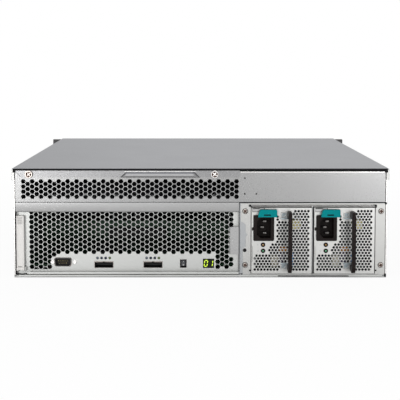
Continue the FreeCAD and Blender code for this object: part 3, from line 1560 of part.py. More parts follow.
def make_carrier_lever():
    """The carrier's lever, drawn about its pivot: a bevelled heel, a finger hollow and a hooked tip."""
    lever = new_body("carrier_lever")
    thick = size("lever_thickness") / 2
    bevel = thick * 0.6
    end = size("lever_length")
    hook = size("bezel_depth") - size("lever_pivot_y") - gap
    plan = [
        (-thick, -bevel),
        (-bevel, -thick),
        (end, -thick),
        (end, hook),
        (end - hook, hook),
        (end - 2 * hook, thick),
        (-bevel, thick),
        (-thick, bevel),
    ]
    z_low = size("bezel_wall") + gap
    pad(lever, "XY", z_low, size("lever_height"), [plan])
    margin = size("lever_height") / 4
    hollow = rectangle(end * 0.2, end * 0.8, z_low + margin, z_low + size("lever_height") - margin)
    pocket(lever, "XZ", thick / 2, thick, [hollow])
    return lever


def make_carriers():
    carrier = make_carrier()
    lever = make_carrier_lever()
    y = front + gap
    for column in range(columns):
        for row in range(rows):
            number = f"{chr(ord('a') + column)}{row + 1}"
            x = bay_x(column)
            z = bay_z(row)
            repeat(f"drive_carrier_{number}", carrier, x, y, z)
            lever_x = x + size("lever_pivot_x")
            repeat(f"carrier_lever_{number}", lever, lever_x, y + size("lever_pivot_y"), z)


# Rack ears

def make_ears():
    ears = []
    thick = size("ear_thickness")
    ear_low = skin + gap
    ear_high = ear_low + size("ear_height")
    leg_high = size("shelf_height") - size("skirt_height") - 2 * gap
    tip = size("ear_span") / 2
    slot_half = size("ear_slot_length") / 2 - size("ear_slot_radius")
    for side, label in ((-1, "left"), (1, "right")):
        ear = new_body(f"rack_ear_{label}")
        near = half_width * side
        outer = (half_width + thick) * side
        spread = [tip * side, near] if side < 0 else [near, tip * side]
        pad(ear, "XZ", front, thick, [rectangle(*spread, ear_low, ear_high)])
        leg = [outer, near] if side < 0 else [near, outer]
        length = size("ear_leg")
        pad(ear, "XZ", front - length, length + thick / 2, [rectangle(*leg, ear_low, leg_high)])
        centre = size("ear_slot_spacing") / 2 * side
        for half_step in (-0.5, 0.5):
            z = size("ear_slot_middle") + size("ear_slot_rise") * half_step
            radius = size("ear_slot_radius")
            for outline in (
                disc(centre - slot_half, z, radius),
                disc(centre + slot_half, z, radius),
                rectangle(centre - slot_half, centre + slot_half, z - radius, z + radius),
            ):
                pocket(ear, "XZ", front - cut_margin, thick + 2 * cut_margin, [outline])
        ears.append(ear)
    node("rack_ears", group("rack_ears", ears))


make_tub()
make_middle_shelf()
make_cover()
make_supply_frame()
make_supplies()
make_module_face()
make_module_tray()
make_module_board()
make_module_ports()
make_rocker()
make_ejector()
make_fans()
make_cage()
make_midplane()
make_carriers()
make_ears()

doc.recompute()

faults = [thing.Label for thing in doc.Objects if "Invalid" in thing.State or "Error" in thing.State]
if faults:
    raise RuntimeError(f"these objects failed: {faults}")

os.makedirs("parts", exist_ok=True)
for label, thing in nodes.items():
    shape = thing.Shape
    if shape.isNull() or not shape.isValid() or not shape.Solids:
        raise RuntimeError(f"{label} has no valid solid")
    shape.exportStep(f"parts/{label}.step")
print(f"{len(nodes)} nodes written")
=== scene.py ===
import math

import bmesh
import bpy
from mathutils import Matrix, Vector


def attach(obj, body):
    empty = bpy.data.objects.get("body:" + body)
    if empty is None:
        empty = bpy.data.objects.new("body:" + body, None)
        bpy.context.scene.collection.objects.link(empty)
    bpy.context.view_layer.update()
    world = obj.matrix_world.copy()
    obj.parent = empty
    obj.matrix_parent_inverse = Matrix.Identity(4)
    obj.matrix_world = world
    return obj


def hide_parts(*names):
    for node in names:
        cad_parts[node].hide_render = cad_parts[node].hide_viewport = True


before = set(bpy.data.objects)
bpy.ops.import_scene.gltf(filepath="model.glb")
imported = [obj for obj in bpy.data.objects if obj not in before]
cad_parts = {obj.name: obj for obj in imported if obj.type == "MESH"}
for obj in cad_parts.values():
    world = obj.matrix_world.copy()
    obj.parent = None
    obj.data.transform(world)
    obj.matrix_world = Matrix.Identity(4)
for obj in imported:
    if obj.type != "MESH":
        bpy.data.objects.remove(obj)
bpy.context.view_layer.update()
mm = 0.001
print(len(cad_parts), "nodes loaded")


# small tools: shapes are bmeshes in mm, and paint is the number of a face's material

def colour(code):
    # sRGB hex to linear RGBA
    parts = [int(code[i:i + 2], 16) / 255 for i in (1, 3, 5)]
    return (*[c / 12.92 if c <= 0.04045 else ((c + 0.055) / 1.055) ** 2.4 for c in parts], 1.0)


def addNode(tree, kind, values=None, links=None, **settings):
    node = tree.nodes.new(kind)
    for key, value in settings.items():
        setattr(node, key, value)
    for key, value in (values or {}).items():
        node.inputs[key].default_value = value
    for key, source in (links or {}).items():
        tree.links.new(source, node.inputs[key])
    return node


def addObject(name, data):
    item = bpy.data.objects.new(name, data)
    bpy.context.scene.collection.objects.link(item)
    return item


def addPart(shape, part, paint=0, matrix=None):
    if matrix:
        bmesh.ops.transform(part, matrix=matrix, verts=part.verts)
    for face in part.faces:
        face.material_index = paint
    mesh = bpy.data.meshes.new("part")
    part.to_mesh(mesh)
    part.free()
    shape.from_mesh(mesh)
    bpy.data.meshes.remove(mesh)


def softenEdges(part, bevel, segments):
    if bevel:
        bmesh.ops.bevel(part, geom=list(part.edges), offset=bevel, segments=segments, profile=0.5,
                        affect="EDGES")


def addBox(shape, x, y, z, bevel=0.0, segments=2, paint=0):
    # x, y, z are (low, high) pairs
    part = bmesh.new()
    bmesh.ops.create_cube(part, size=1.0)
    for v in part.verts:
        v.co = Vector([(a[0] + a[1]) / 2 + c * (a[1] - a[0]) for c, a in zip(v.co, (x, y, z))])
    softenEdges(part, bevel, segments)
    addPart(shape, part, paint)


def addPair(shape, near, far, y, z, bevel=0.0, segments=2, paint=0):
    # a box at the right, near and far from the middle plane, and its mirror image at the left
    for side in (-1, 1):
        addBox(shape, sorted((side * near, side * far)), y, z, bevel, segments, paint)


def addTube(shape, left, right, low, high, wall, y, paint=0):
    # four walls inside the given edges
    for x in ((left, left + wall), (right - wall, right)):
        addBox(shape, x, y, (low, high), paint=paint)
    for z in ((low, low + wall), (high - wall, high)):
        addBox(shape, (left + wall, right - wall), y, z, paint=paint)


def addPrism(shape, outline, axis, start, end, bevel=0.0, segments=2, paint=0):
    # outline points lie in the two other axes, in X Y Z order
    part = bmesh.new()
    along = "XYZ".index(axis)
    across = [i for i in range(3) if i != along]
    rings = []
    for level in (start, end):
        ring = []
        for point in outline:
            place = [level] * 3
            place[across[0]], place[across[1]] = point
            ring.append(part.verts.new(place))
        rings.append(ring)
        part.faces.new(ring)
    for i in range(len(outline)):
        part.faces.new((rings[0][i - 1], rings[0][i], rings[1][i], rings[1][i - 1]))
    softenEdges(part, bevel, segments)
    bmesh.ops.recalc_face_normals(part, faces=part.faces)
    addPart(shape, part, paint)


facing = {
    "-Y": Matrix.Rotation(math.radians(90), 4, "X"),
    "Y": Matrix.Rotation(math.radians(-90), 4, "X"),
    "Z": Matrix.Identity(4),
    "X": Matrix.Rotation(math.radians(90), 4, "Y"),
}


def addTurned(shape, profile, centre, axis="-Y", sides=32, paint=0):
    # profile is (radius, height) pairs from the foot up, turned about the axis through the centre
    part = bmesh.new()
    rings = []
    for radius, height in profile:
        if radius < 1e-6:
            rings.append([part.verts.new((0, 0, height))])
            continue
        turns = [2 * math.pi * i / sides for i in range(sides)]
        rings.append([part.verts.new((radius * math.cos(a), radius * math.sin(a), height)) for a in turns])
    for low, high in zip(rings, rings[1:]):
        for i in range(sides):
            if len(low) == 1:
                part.faces.new((low[0], high[i - 1], high[i]))
            elif len(high) == 1:
                part.faces.new((low[i - 1], low[i], high[0]))
            else:
                part.faces.new((low[i - 1], low[i], high[i], high[i - 1]))
    for ring in (rings[0], rings[-1]):
        if len(ring) > 1:
            part.faces.new(ring)
    bmesh.ops.recalc_face_normals(part, faces=part.faces)
    addPart(shape, part, paint, Matrix.Translation(Vector(centre)) @ facing[axis])


def rectangle(left, right, low, high):
    return [(left, low), (right, low), (right, high), (left, high)]


def disc(x, z, radius, sides=24):
    turns = [2 * math.pi * i / sides for i in range(sides)]
    return [(x + radius * math.cos(a), z + radius * math.sin(a)) for a in turns]


def arc(x, z, radius, start, turn, steps):
    # both ends are in it, and the angles are degrees
    turns = [math.radians(start + turn * i / steps) for i in range(steps + 1)]
    return [(x + radius * math.cos(a), z + radius * math.sin(a)) for a in turns]


def roundedRectangle(left, right, low, high, radius, steps=4):
    corners = [(right - radius, high - radius, 0), (left + radius, high - radius, 90),
               (left + radius, low + radius, 180), (right - radius, low + radius, 270)]
    points = []
    for x, z, turn in corners:
        points += arc(x, z, radius, turn, 90, steps)
    return points


def crossOutline(arm, half, turn=0.0):
    corners = [(half, half), (half, arm), (-half, arm), (-half, half), (-arm, half), (-arm, -half),
               (-half, -half), (-half, -arm), (half, -arm), (half, -half), (arm, -half), (arm, half)]
    c, s = math.cos(turn), math.sin(turn)
    return [(a * c - b * s, a * s + b * c) for a, b in corners]


def addRim(shape, outer, inner, levels, steps=4, paint=0):
    # a frame round an opening: outer and inner are (left, right, low, high, radius), and each level
    # is (y, how far both edges draw back there)
    part = bmesh.new()
    rings = []
    for y, inset in levels:
        for (left, right, low, high, radius), way in ((outer, inset), (inner, -inset)):
            points = roundedRectangle(left + way, right - way, low + way, high - way,
                                      max(radius - way, 0.05), steps)
            rings.append([part.verts.new((x, y, z)) for x, z in points])
    loops = rings[0::2] + rings[1::2][::-1]
    for near, far in zip(loops, loops[1:] + loops[:1]):
        for i in range(len(near)):
            part.faces.new((near[i - 1], near[i], far[i], far[i - 1]))
    bmesh.ops.recalc_face_normals(part, faces=part.faces)
    addPart(shape, part, paint)


def addSurface(shape, rows, thickness, paint=0):
    # a curved sheet through rows of points, thickened to one side
    part = bmesh.new()
    grid = [[part.verts.new(p) for p in row] for row in rows]
    for low, high in zip(grid, grid[1:]):
        for i in range(len(low) - 1):
            part.faces.new((low[i], low[i + 1], high[i + 1], high[i]))
    bmesh.ops.recalc_face_normals(part, faces=part.faces)
    bmesh.ops.solidify(part, geom=list(part.faces), thickness=thickness)
    bmesh.ops.recalc_face_normals(part, faces=part.faces)
    addPart(shape, part, paint)


def finishPiece(name, shape, materials, body, replaces=(), move=None, keepShape=False):
    # puts the mesh into metres, smooths what is round and lets it ride on its body
    mesh = bpy.data.meshes.new(name)
    shape.to_mesh(mesh)
    if not keepShape:
        shape.free()
    if move:
        mesh.transform(Matrix.Translation(Vector(move)))
    mesh.transform(Matrix.Scale(mm, 4))
    for material in materials if isinstance(materials, list) else [materials]:
        mesh.materials.append(material)
    mesh.shade_smooth()
    mesh.set_sharp_from_angle(angle=math.radians(34))
    piece = addObject(name, mesh)
    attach(piece, body)
    if replaces:
        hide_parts(*replaces)
    return piece


# materials

def newMaterial(name):
    material = bpy.data.materials.new(name)
    material.use_nodes = True
    tree = material.node_tree
    tree.nodes.clear()
    surface = addNode(tree, "ShaderNodeBsdfPrincipled")
    addNode(tree, "ShaderNodeOutputMaterial", None, {"Surface": surface.outputs["BSDF"]})
    return material, tree, surface


def addGrain(tree, surface, light, dark, spread, grainMm, roughness, sway, bump, depthMm):
    # the pattern both families share: a colour that drifts over spread mm, and a fine grain in gloss
    # and relief
    place = addNode(tree, "ShaderNodeTexCoord")
    cloud = addNode(tree, "ShaderNodeTexNoise", {"Scale": 1 / (spread * mm), "Detail": 3.0, "Roughness": 0.5},
                    {"Vector": place.outputs["Object"]})
    grain = addNode(tree, "ShaderNodeTexNoise",
                    {"Scale": 1 / (grainMm * mm), "Detail": 2.0, "Roughness": 0.6},
                    
                    {"Vector": place.outputs["Object"]})
    tone = addNode(tree, "ShaderNodeMix", {6: colour(dark), 7: colour(light)}, {0: cloud.outputs["Fac"]},
                   data_type="RGBA")
    lowest, highest = roughness - sway, roughness + sway
    gloss = addNode(tree, "ShaderNodeMapRange",
                    {"From Min": 0.3, "From Max": 0.7, "To Min": lowest, "To Max": highest},
                    {"Value": grain.outputs["Fac"]})
    relief = addNode(tree, "ShaderNodeBump", {"Strength": bump, "Distance": depthMm * mm},
                     {"Height": grain.outputs["Fac"]})
    tree.links.new(tone.outputs[2], surface.inputs["Base Color"])
    tree.links.new(gloss.outputs["Result"], surface.inputs["Roughness"])
    tree.links.new(relief.outputs["Normal"], surface.inputs["Normal"])


def sheetMetal(name, light, dark, roughness=0.38, grainMm=1.0, bump=0.3, edge=1.0):
    # rolled sheet: the colour clouds over 60 mm, the rolling grain is drawn at 1 mm so that it shows,
    # and edge dims the flat reflection of sheets whose plating is matt
    material, tree, surface = newMaterial(name)
    addGrain(tree, surface, light, dark, 60.0, grainMm, roughness, 0.05, bump, 0.08)
    surface.inputs["Metallic"].default_value = 1.0
    surface.inputs["Specular Tint"].default_value = (edge, edge, edge, 1.0)
    return material


def mouldedPlastic(name, light, dark, roughness, grainMm=0.6, bump=0.15, shine=0.3):
    # moulded or coated: spark-eroded grain, with a colour that drifts over three grains
    material, tree, surface = newMaterial(name)
    addGrain(tree, surface, light, dark, grainMm * 3, grainMm, roughness, 0.06, bump, 0.05)
    surface.inputs["IOR"].default_value = 1.5
    surface.inputs["Specular IOR Level"].default_value = shine
    return material


def litFilm(name, code, strength):
    # a lit segment behind its clear film: light that varies a little over 1.5 mm
    material, tree, surface = newMaterial(name)
    place = addNode(tree, "ShaderNodeTexCoord")
    spot = addNode(tree, "ShaderNodeTexNoise", {"Scale": 1 / (1.5 * mm), "Detail": 1.0},
                   {"Vector": place.outputs["Object"]})
    level = addNode(tree, "ShaderNodeMapRange", {"To Min": strength * 0.85, "To Max": strength * 1.15},
                    {"Value": spot.outputs["Fac"]})
    tree.links.new(level.outputs["Result"], surface.inputs["Emission Strength"])
    surface.inputs["Emission Color"].default_value = colour(code)
    surface.inputs["Base Color"].default_value = colour(code)
    surface.inputs["Roughness"].default_value = 0.3
    return material


# zinc plated steel, rolled: an even grey sheen. The copies below are lighter or darker part by part, and much
# of that is painted light and shade for how each face is lit, as on the tub's sill, the grip's slope and the
# frame's back layer
tubZinc = sheetMetal("tubZincSteel", "#a0a0a0", "#989898", 0.3, bump=0.06)
coverZinc = sheetMetal("coverZincSteel", "#a8a9ac", "#9fa0a3", 0.42, edge=0.57)
flangeZinc = sheetMetal("flangeZincSteel", "#969697", "#8f8f90", 0.3, bump=0.05)
# painted shade: the grip's upper slope, drawn in a darker zinc than the flange
shadedZinc = sheetMetal("zincGripSlopePaintedShade", "#838488", "#797a7e", 0.42)
moduleZinc = sheetMetal("moduleZincSteel", "#bebfbd", "#b8b9b7", 0.42)
stripZinc = sheetMetal("stripZincSteel", "#aeaeae", "#a6a6a6", 0.32, bump=0.06)
frameZinc = sheetMetal("frameZincSteel", "#b8b8b6", "#b0b0ae", 0.38)
# the frame's zinc a shade darker: painted shade on the frame's back layer, walls and divider; the inner
# parts' plain sheet uses it too
frameShade = sheetMetal("frameBackZincSteel", "#a4a6a8", "#9a9c9e", 0.42)
supplyZinc = sheetMetal("supplyZincSteel", "#c4c4c2", "#bcbcba", 0.38)
# near-white steel: painted highlight, a bright line along edges and lips where a bend catches the light; also
# the bright metal of the jack posts and the right knob
brightSteelAndHighlight = sheetMetal("brightSteelPaintedHighlight", "#f6f4f2", "#efedeb", 0.3, 0.6, 0.1)
# nickel plated and turned: warm, glossier than sheet
nickelSteel = sheetMetal("nickelPlatedSteel", "#d3cac4", "#beb5af", 0.26, 0.8, 0.15)
pinkNickel = sheetMetal("warmNickelScrews", "#cfbfb9", "#b3a39d", 0.24, 0.6, 0.1)
# painted shade for the screws' cross recesses: a brownish dark, matt, so that a recess stays dark under the
# lamps
recessShadeBrown = mouldedPlastic("screwRecessPaintedShade", "#5e4a43", "#4a3a34", 0.6, shine=0.1)
# nickel plating drawn darker: the dull dark of the connector shell, and painted shade on the knobs' recess
# walls and the inlet blades in their cavity
darkAndShadedNickel = sheetMetal("darkNickelPaintedShade", "#6e6c6a", "#5b5957", 0.34, 0.6, 0.1)
# blue chromated zinc: cooler than the sheet round it
blueZinc = sheetMetal("blueChromatedZinc", "#9da6aa", "#8d979c", 0.36, 0.8, 0.2)
# gold flash over nickel: pale and warm, almost polished
goldFlash = sheetMetal("goldFlashedContact", "#e8d9a8", "#d8c690", 0.24, 0.6, 0.05)
# cast and machined aluminium: lighter and finer than steel sheet
castAluminium = sheetMetal("castAluminium", "#b9bbbd", "#abadb0", 0.44, 0.9, 0.35)
finAluminium = sheetMetal("blackAnodisedFins", "#3a3b3c", "#303132", 0.46, 0.8, 0.2)
# glass filled nylon, moulded: brown black and satin
blackNylon = mouldedPlastic("blackNylon", "#1d1514", "#140e0d", 0.5, shine=0.12)
inletNylon = mouldedPlastic("inletNylon", "#1c1614", "#15100f", 0.5, shine=0.12)
tealNylon = mouldedPlastic("tealNylon", "#00868a", "#007b80", 0.5, shine=0.06)
portPlastic = mouldedPlastic("blackPortPlastic", "#131313", "#0c0c0c", 0.5)
fanPlastic = mouldedPlastic("blackFanPlastic", "#242322", "#191817", 0.45)
# black for slits, seams, recesses and the rings round screw heads: painted shade, standing in for the dark of
# gaps and hollows; it is also the black film inside the supplies
paintedShadeBlack = mouldedPlastic("blackPaintedShade", "#17171a", "#0e0e10", 0.85, 0.8, 0.4)
carrierPlastic = mouldedPlastic("greyCarrierPlastic", "#45474a", "#3a3c3f", 0.5)
leverPlastic = mouldedPlastic("darkLeverPlastic", "#2d2e31", "#232427", 0.42)
# powder coat: an orange-peel relief of about a millimetre
darkCoat = mouldedPlastic("darkPowderCoat", "#5c5b5c", "#504f50", 0.55, 0.9, 0.3)
lightCoat = mouldedPlastic("lightGreyPowderCoat", "#e2e0dd", "#d9d7d4", 0.5, 0.9, 0.25)
# coated glass laminate: green, the weave just felt in the gloss
boardLaminate = mouldedPlastic("greenBoardLaminate", "#23482f", "#193722", 0.4, 2.0, 0.1)
chipEpoxy = mouldedPlastic("blackChipEpoxy", "#1d1e20", "#141517", 0.6, 0.4, 0.1)
# polyester tape, films and sleeves on the wound parts
yellowTape = mouldedPlastic("yellowPolyesterTape", "#eadf96", "#dccf82", 0.35, 1.2, 0.1)
amberWinding = mouldedPlastic("amberEnamelWinding", "#c9873a", "#a96a28", 0.3, 0.7, 0.3)
blueFilm = mouldedPlastic("blueFilmCapacitor", "#5b9be0", "#4a86c8", 0.35, 0.8, 0.1)
beigeFilm = mouldedPlastic("beigeFilmCapacitor", "#d5cfb9", "#c6bfa6", 0.45, 0.8, 0.1)
violetSleeve = mouldedPlastic("violetSleeve", "#4a4258", "#3b3449", 0.4, 0.8, 0.1)
# tinted polycarbonate: glossy, dark when unlit
displayFilter = mouldedPlastic("displayFilter", "#0e1408", "#0a0f05", 0.12, 1.0, 0.02)
unlitSegment = mouldedPlastic("unlitSegment", "#1a220e", "#151c0a", 0.2, 1.0, 0.02)
blueGreyLens = mouldedPlastic("blueGreyLens", "#5a646e", "#4a535d", 0.15, 1.0, 0.02)
navyLens = mouldedPlastic("navyLens", "#222c3e", "#182031", 0.15, 1.0, 0.02)
oliveLens = mouldedPlastic("oliveLens", "#5c6944", "#4b5735", 0.15, 1.0, 0.02)
amberLens = mouldedPlastic("amberLens", "#9b7c4a", "#836538", 0.15, 1.0, 0.02)
greenLens = mouldedPlastic("greenLens", "#4f8f68", "#3d7a54", 0.15, 1.0, 0.02)
clearGreyLens = mouldedPlastic("clearGreyLens", "#aab4ba", "#98a3aa", 0.12, 1.0, 0.02)
litSegment = litFilm("litSegment", "#c4e23a", 0.85)

print("materials made")


# Geometry Nodes trees: a punched sheet, and one shape repeated at points

def newTree(name, inputs):
    tree = bpy.data.node_groups.new(name, "GeometryNodeTree")
    tree.interface.new_socket("Geometry", in_out="INPUT", socket_type="NodeSocketGeometry")
    for label, kind in inputs:
        tree.interface.new_socket(label, in_out="INPUT", socket_type="NodeSocket" + kind)
    tree.interface.new_socket("Geometry", in_out="OUTPUT", socket_type="NodeSocketGeometry")
    return tree, addNode(tree, "NodeGroupInput")


def endTree(tree, start, geometry):
    plain = addNode(tree, "GeometryNodeRealizeInstances", None, {"Geometry": geometry})
    finish = addNode(tree, "GeometryNodeSetMaterial", None,
                     {"Geometry": plain.outputs["Geometry"], "Material": start.outputs["Finish"]})
    addNode(tree, "NodeGroupOutput", None, {"Geometry": finish.outputs["Geometry"]})
    return tree


def punchedSheetTree():
    # closed edge loops become the sheet's outline and cut-outs, loose points become its holes
    tree, start = newTree("punchedSheet", (("Hole Radius", "Float"), ("Hole Sides", "Int"),
                                           ("Thickness", "Float"), ("Finish", "Material")))
    neighbours = addNode(tree, "GeometryNodeInputMeshVertexNeighbors")
    loose = addNode(tree, "FunctionNodeCompare", {3: 0}, {2: neighbours.outputs["Vertex Count"]},
                    data_type="INT", operation="EQUAL")
    centres = addNode(tree, "GeometryNodeMeshToPoints", None,
                      {"Mesh": start.outputs["Geometry"], "Selection": loose.outputs["Result"]})
    hole = addNode(tree, "GeometryNodeCurvePrimitiveCircle", None,
                   {"Resolution": start.outputs["Hole Sides"], "Radius": start.outputs["Hole Radius"]})
    holes = addNode(tree, "GeometryNodeInstanceOnPoints", None,
                    {"Points": centres.outputs["Points"], "Instance": hole.outputs["Curve"]})
    cut = addNode(tree, "GeometryNodeRealizeInstances", None, {"Geometry": holes.outputs["Instances"]})
    outline = addNode(tree, "GeometryNodeMeshToCurve", None, {"Mesh": start.outputs["Geometry"]})
    both = addNode(tree, "GeometryNodeJoinGeometry")
    tree.links.new(outline.outputs["Curve"], both.inputs[0])
    tree.links.new(cut.outputs["Geometry"], both.inputs[0])
    flat = addNode(tree, "GeometryNodeFillCurve", None, {"Curve": both.outputs[0]})
    raised = addNode(tree, "GeometryNodeExtrudeMesh", {"Individual": False},
                     {"Mesh": flat.outputs["Mesh"], "Offset Scale": start.outputs["Thickness"]})
    back = addNode(tree, "GeometryNodeFlipFaces", None, {"Mesh": flat.outputs["Mesh"]})
    solid = addNode(tree, "GeometryNodeJoinGeometry")
    tree.links.new(raised.outputs["Mesh"], solid.inputs[0])
    tree.links.new(back.outputs["Mesh"], solid.inputs[0])
    closed = addNode(tree, "GeometryNodeMergeByDistance", {"Distance": 0.002 * mm},
                     {"Geometry": solid.outputs[0]})
    return endTree(tree, start, closed.outputs["Geometry"])


def repeatTree():
    # a copy of the pattern at every point, turned by the angles that the point carries
    tree, start = newTree("repeatAtPoints", (("Pattern", "Object"), ("Finish", "Material")))
    pattern = addNode(tree, "GeometryNodeObjectInfo", None, {"Object": start.outputs["Pattern"]})
    angles = addNode(tree, "GeometryNodeInputNamedAttribute", {"Name": "turn"}, data_type="FLOAT_VECTOR")
    turn = addNode(tree, "FunctionNodeEulerToRotation", None, {"Euler": angles.outputs["Attribute"]})
    copies = addNode(tree, "GeometryNodeInstanceOnPoints", None,
                     {"Points": start.outputs["Geometry"], "Instance": pattern.outputs["Geometry"],
                      "Rotation": turn.outputs["Rotation"]})
    return endTree(tree, start, copies.outputs["Instances"])


punchTree = punchedSheetTree()
copyTree = repeatTree()


def takeFromTree(shape, mesh, tree, values, place, paint):
    # the tree's result joins the shape as plain faces
    blank = addObject("blank", mesh)
    modifier = blank.modifiers.new("tree", "NODES")
    modifier.node_group = tree
    for item in tree.interface.items_tree:
        if item.in_out == "INPUT" and item.name in values:
            modifier[item.identifier] = values[item.name]
    bpy.context.view_layer.update()
    made = bpy.data.meshes.new_from_object(blank.evaluated_get(bpy.context.evaluated_depsgraph_get()))
    made.transform(place @ Matrix.Scale(1 / mm, 4))
    made.polygons.foreach_set("material_index", [paint] * len(made.polygons))
    shape.from_mesh(made)
    bpy.data.objects.remove(blank)
    bpy.data.meshes.remove(made)


def addPunched(shape, loops, centres, near, thickness, finish, radius=1.0, sides=6, paint=0):
    # an upright sheet from Y = near to near + thickness: the first loop is its edge, the others are cut out
    points, edges = [], []
    for loop in loops:
        first = len(points)
        points += [(a * mm, b * mm, 0) for a, b in loop]
        edges += [(first + i, first + (i + 1) % len(loop)) for i in range(len(loop))]
    points += [(a * mm, b * mm, 0) for a, b in centres]
    mesh = bpy.data.meshes.new("outline")
    mesh.from_pydata(points, edges, [])
    values = {"Hole Radius": radius * mm, "Hole Sides": sides, "Thickness": thickness * mm, "Finish": finish}
    upright = Matrix.Translation((0, near + thickness, 0)) @ facing["-Y"]
    takeFromTree(shape, mesh, punchTree, values, upright, paint)


def repeatAt(shape, pattern, places, finish, paint=0):
    # places are (x, y, z), with three angles after them where the copy is turned
    source = bpy.data.meshes.new("pattern")
    pattern.to_mesh(source)
    pattern.free()
    source.transform(Matrix.Scale(mm, 4))
    model = addObject("pattern", source)
    points = bpy.data.meshes.new("places")
    points.from_pydata([[c * mm for c in place[:3]] for place in places], [], [])
    turn = points.attributes.new("turn", "FLOAT_VECTOR", "POINT")
    for item, place in zip(turn.data, places):
        item.vector = place[3:] if len(place) > 3 else (0, 0, 0)
    takeFromTree(shape, points, copyTree, {"Pattern": model, "Finish": finish}, Matrix.Identity(4), paint)
    bpy.data.objects.remove(model)


def crossHeadScrew(radius, height, shank, length, finish):
    # a pan head that looks towards -Y, with a cross cut into its flat middle, and its shank behind
    screw = bmesh.new()
    middle = radius * 0.72
    addTurned(screw, [(middle * 0.98, 0), (radius, 0), (radius, height * 0.35), (radius * 0.93, height * 0.7),
                      (radius * 0.8, height * 0.92), (middle, height), (middle * 0.98, height - 0.1),
                      (middle * 0.98, height * 0.42)], (0, 0, 0), "-Y", 20)
    addPunched(screw, [disc(0, 0, middle, 20), crossOutline(middle * 0.92, middle * 0.42)], [], -height,
               height * 0.5, finish)
    addTurned(screw, [(middle, 0), (middle, height * 0.45)], (0, 0, 0), "-Y", 20)
    addTurned(screw, [(shank, 0), (shank, length - shank * 0.5), (shank * 0.5, length)], (0, 0, 0), "Y", 10)
    return screw


def honeycombCentres(left, columns, step, even, odd, pitch, rows, keep):
    # even and odd are the top hole of either kind of column, and keep says which holes are punched
    found = []
    for column in range(columns):
        x = left + column * step
        for row in range(rows):
            z = (odd if column % 2 else even) - row * pitch
            if keep(z, column, row):
                found.append((x, z))
    return found


def cutHexagon(x, z, radius, level):
    # the part of a hexagon below the level
    side = radius * 0.866
    wide = radius - (level - z) * 0.577
    return [(x - wide, level), (x - radius, z), (x - radius / 2, z - side), (x + radius / 2, z - side),
            (x + radius, z), (x + wide, level)]


# tub

tub = {
    "halfWidth": 222.0, "rear": -260.0, "front": 260.0, "top": 130.0, "skin": 1.2,
    "coverEnd": 239.4, "frontStep": 2.5,  # in front of the cover the walls stand lower
    "seam": 90.6, "panelTop": 127.0, "panelHalf": 219.9, "split": 47.5,
    "sill": 3.0, "slot": (92.6, 177.3, 1.2, 2.4),
    "ventLeft": -210.2, "ventColumns": 49, "ventStep": 5.273, "ventTop": 115.3, "ventPitch": 6.07,
    "holeRadius": 3.05, "smallHoleRadius": 1.0, "smallHoles": ((52.8, 119.2), (52.8, 100.4), (66.6, 100.4)),
    "runners": ((-204.0, -194.0), (20.0, 30.0)), "runnerEnd": -12.0, "ear": (212.1, 90.0),
}


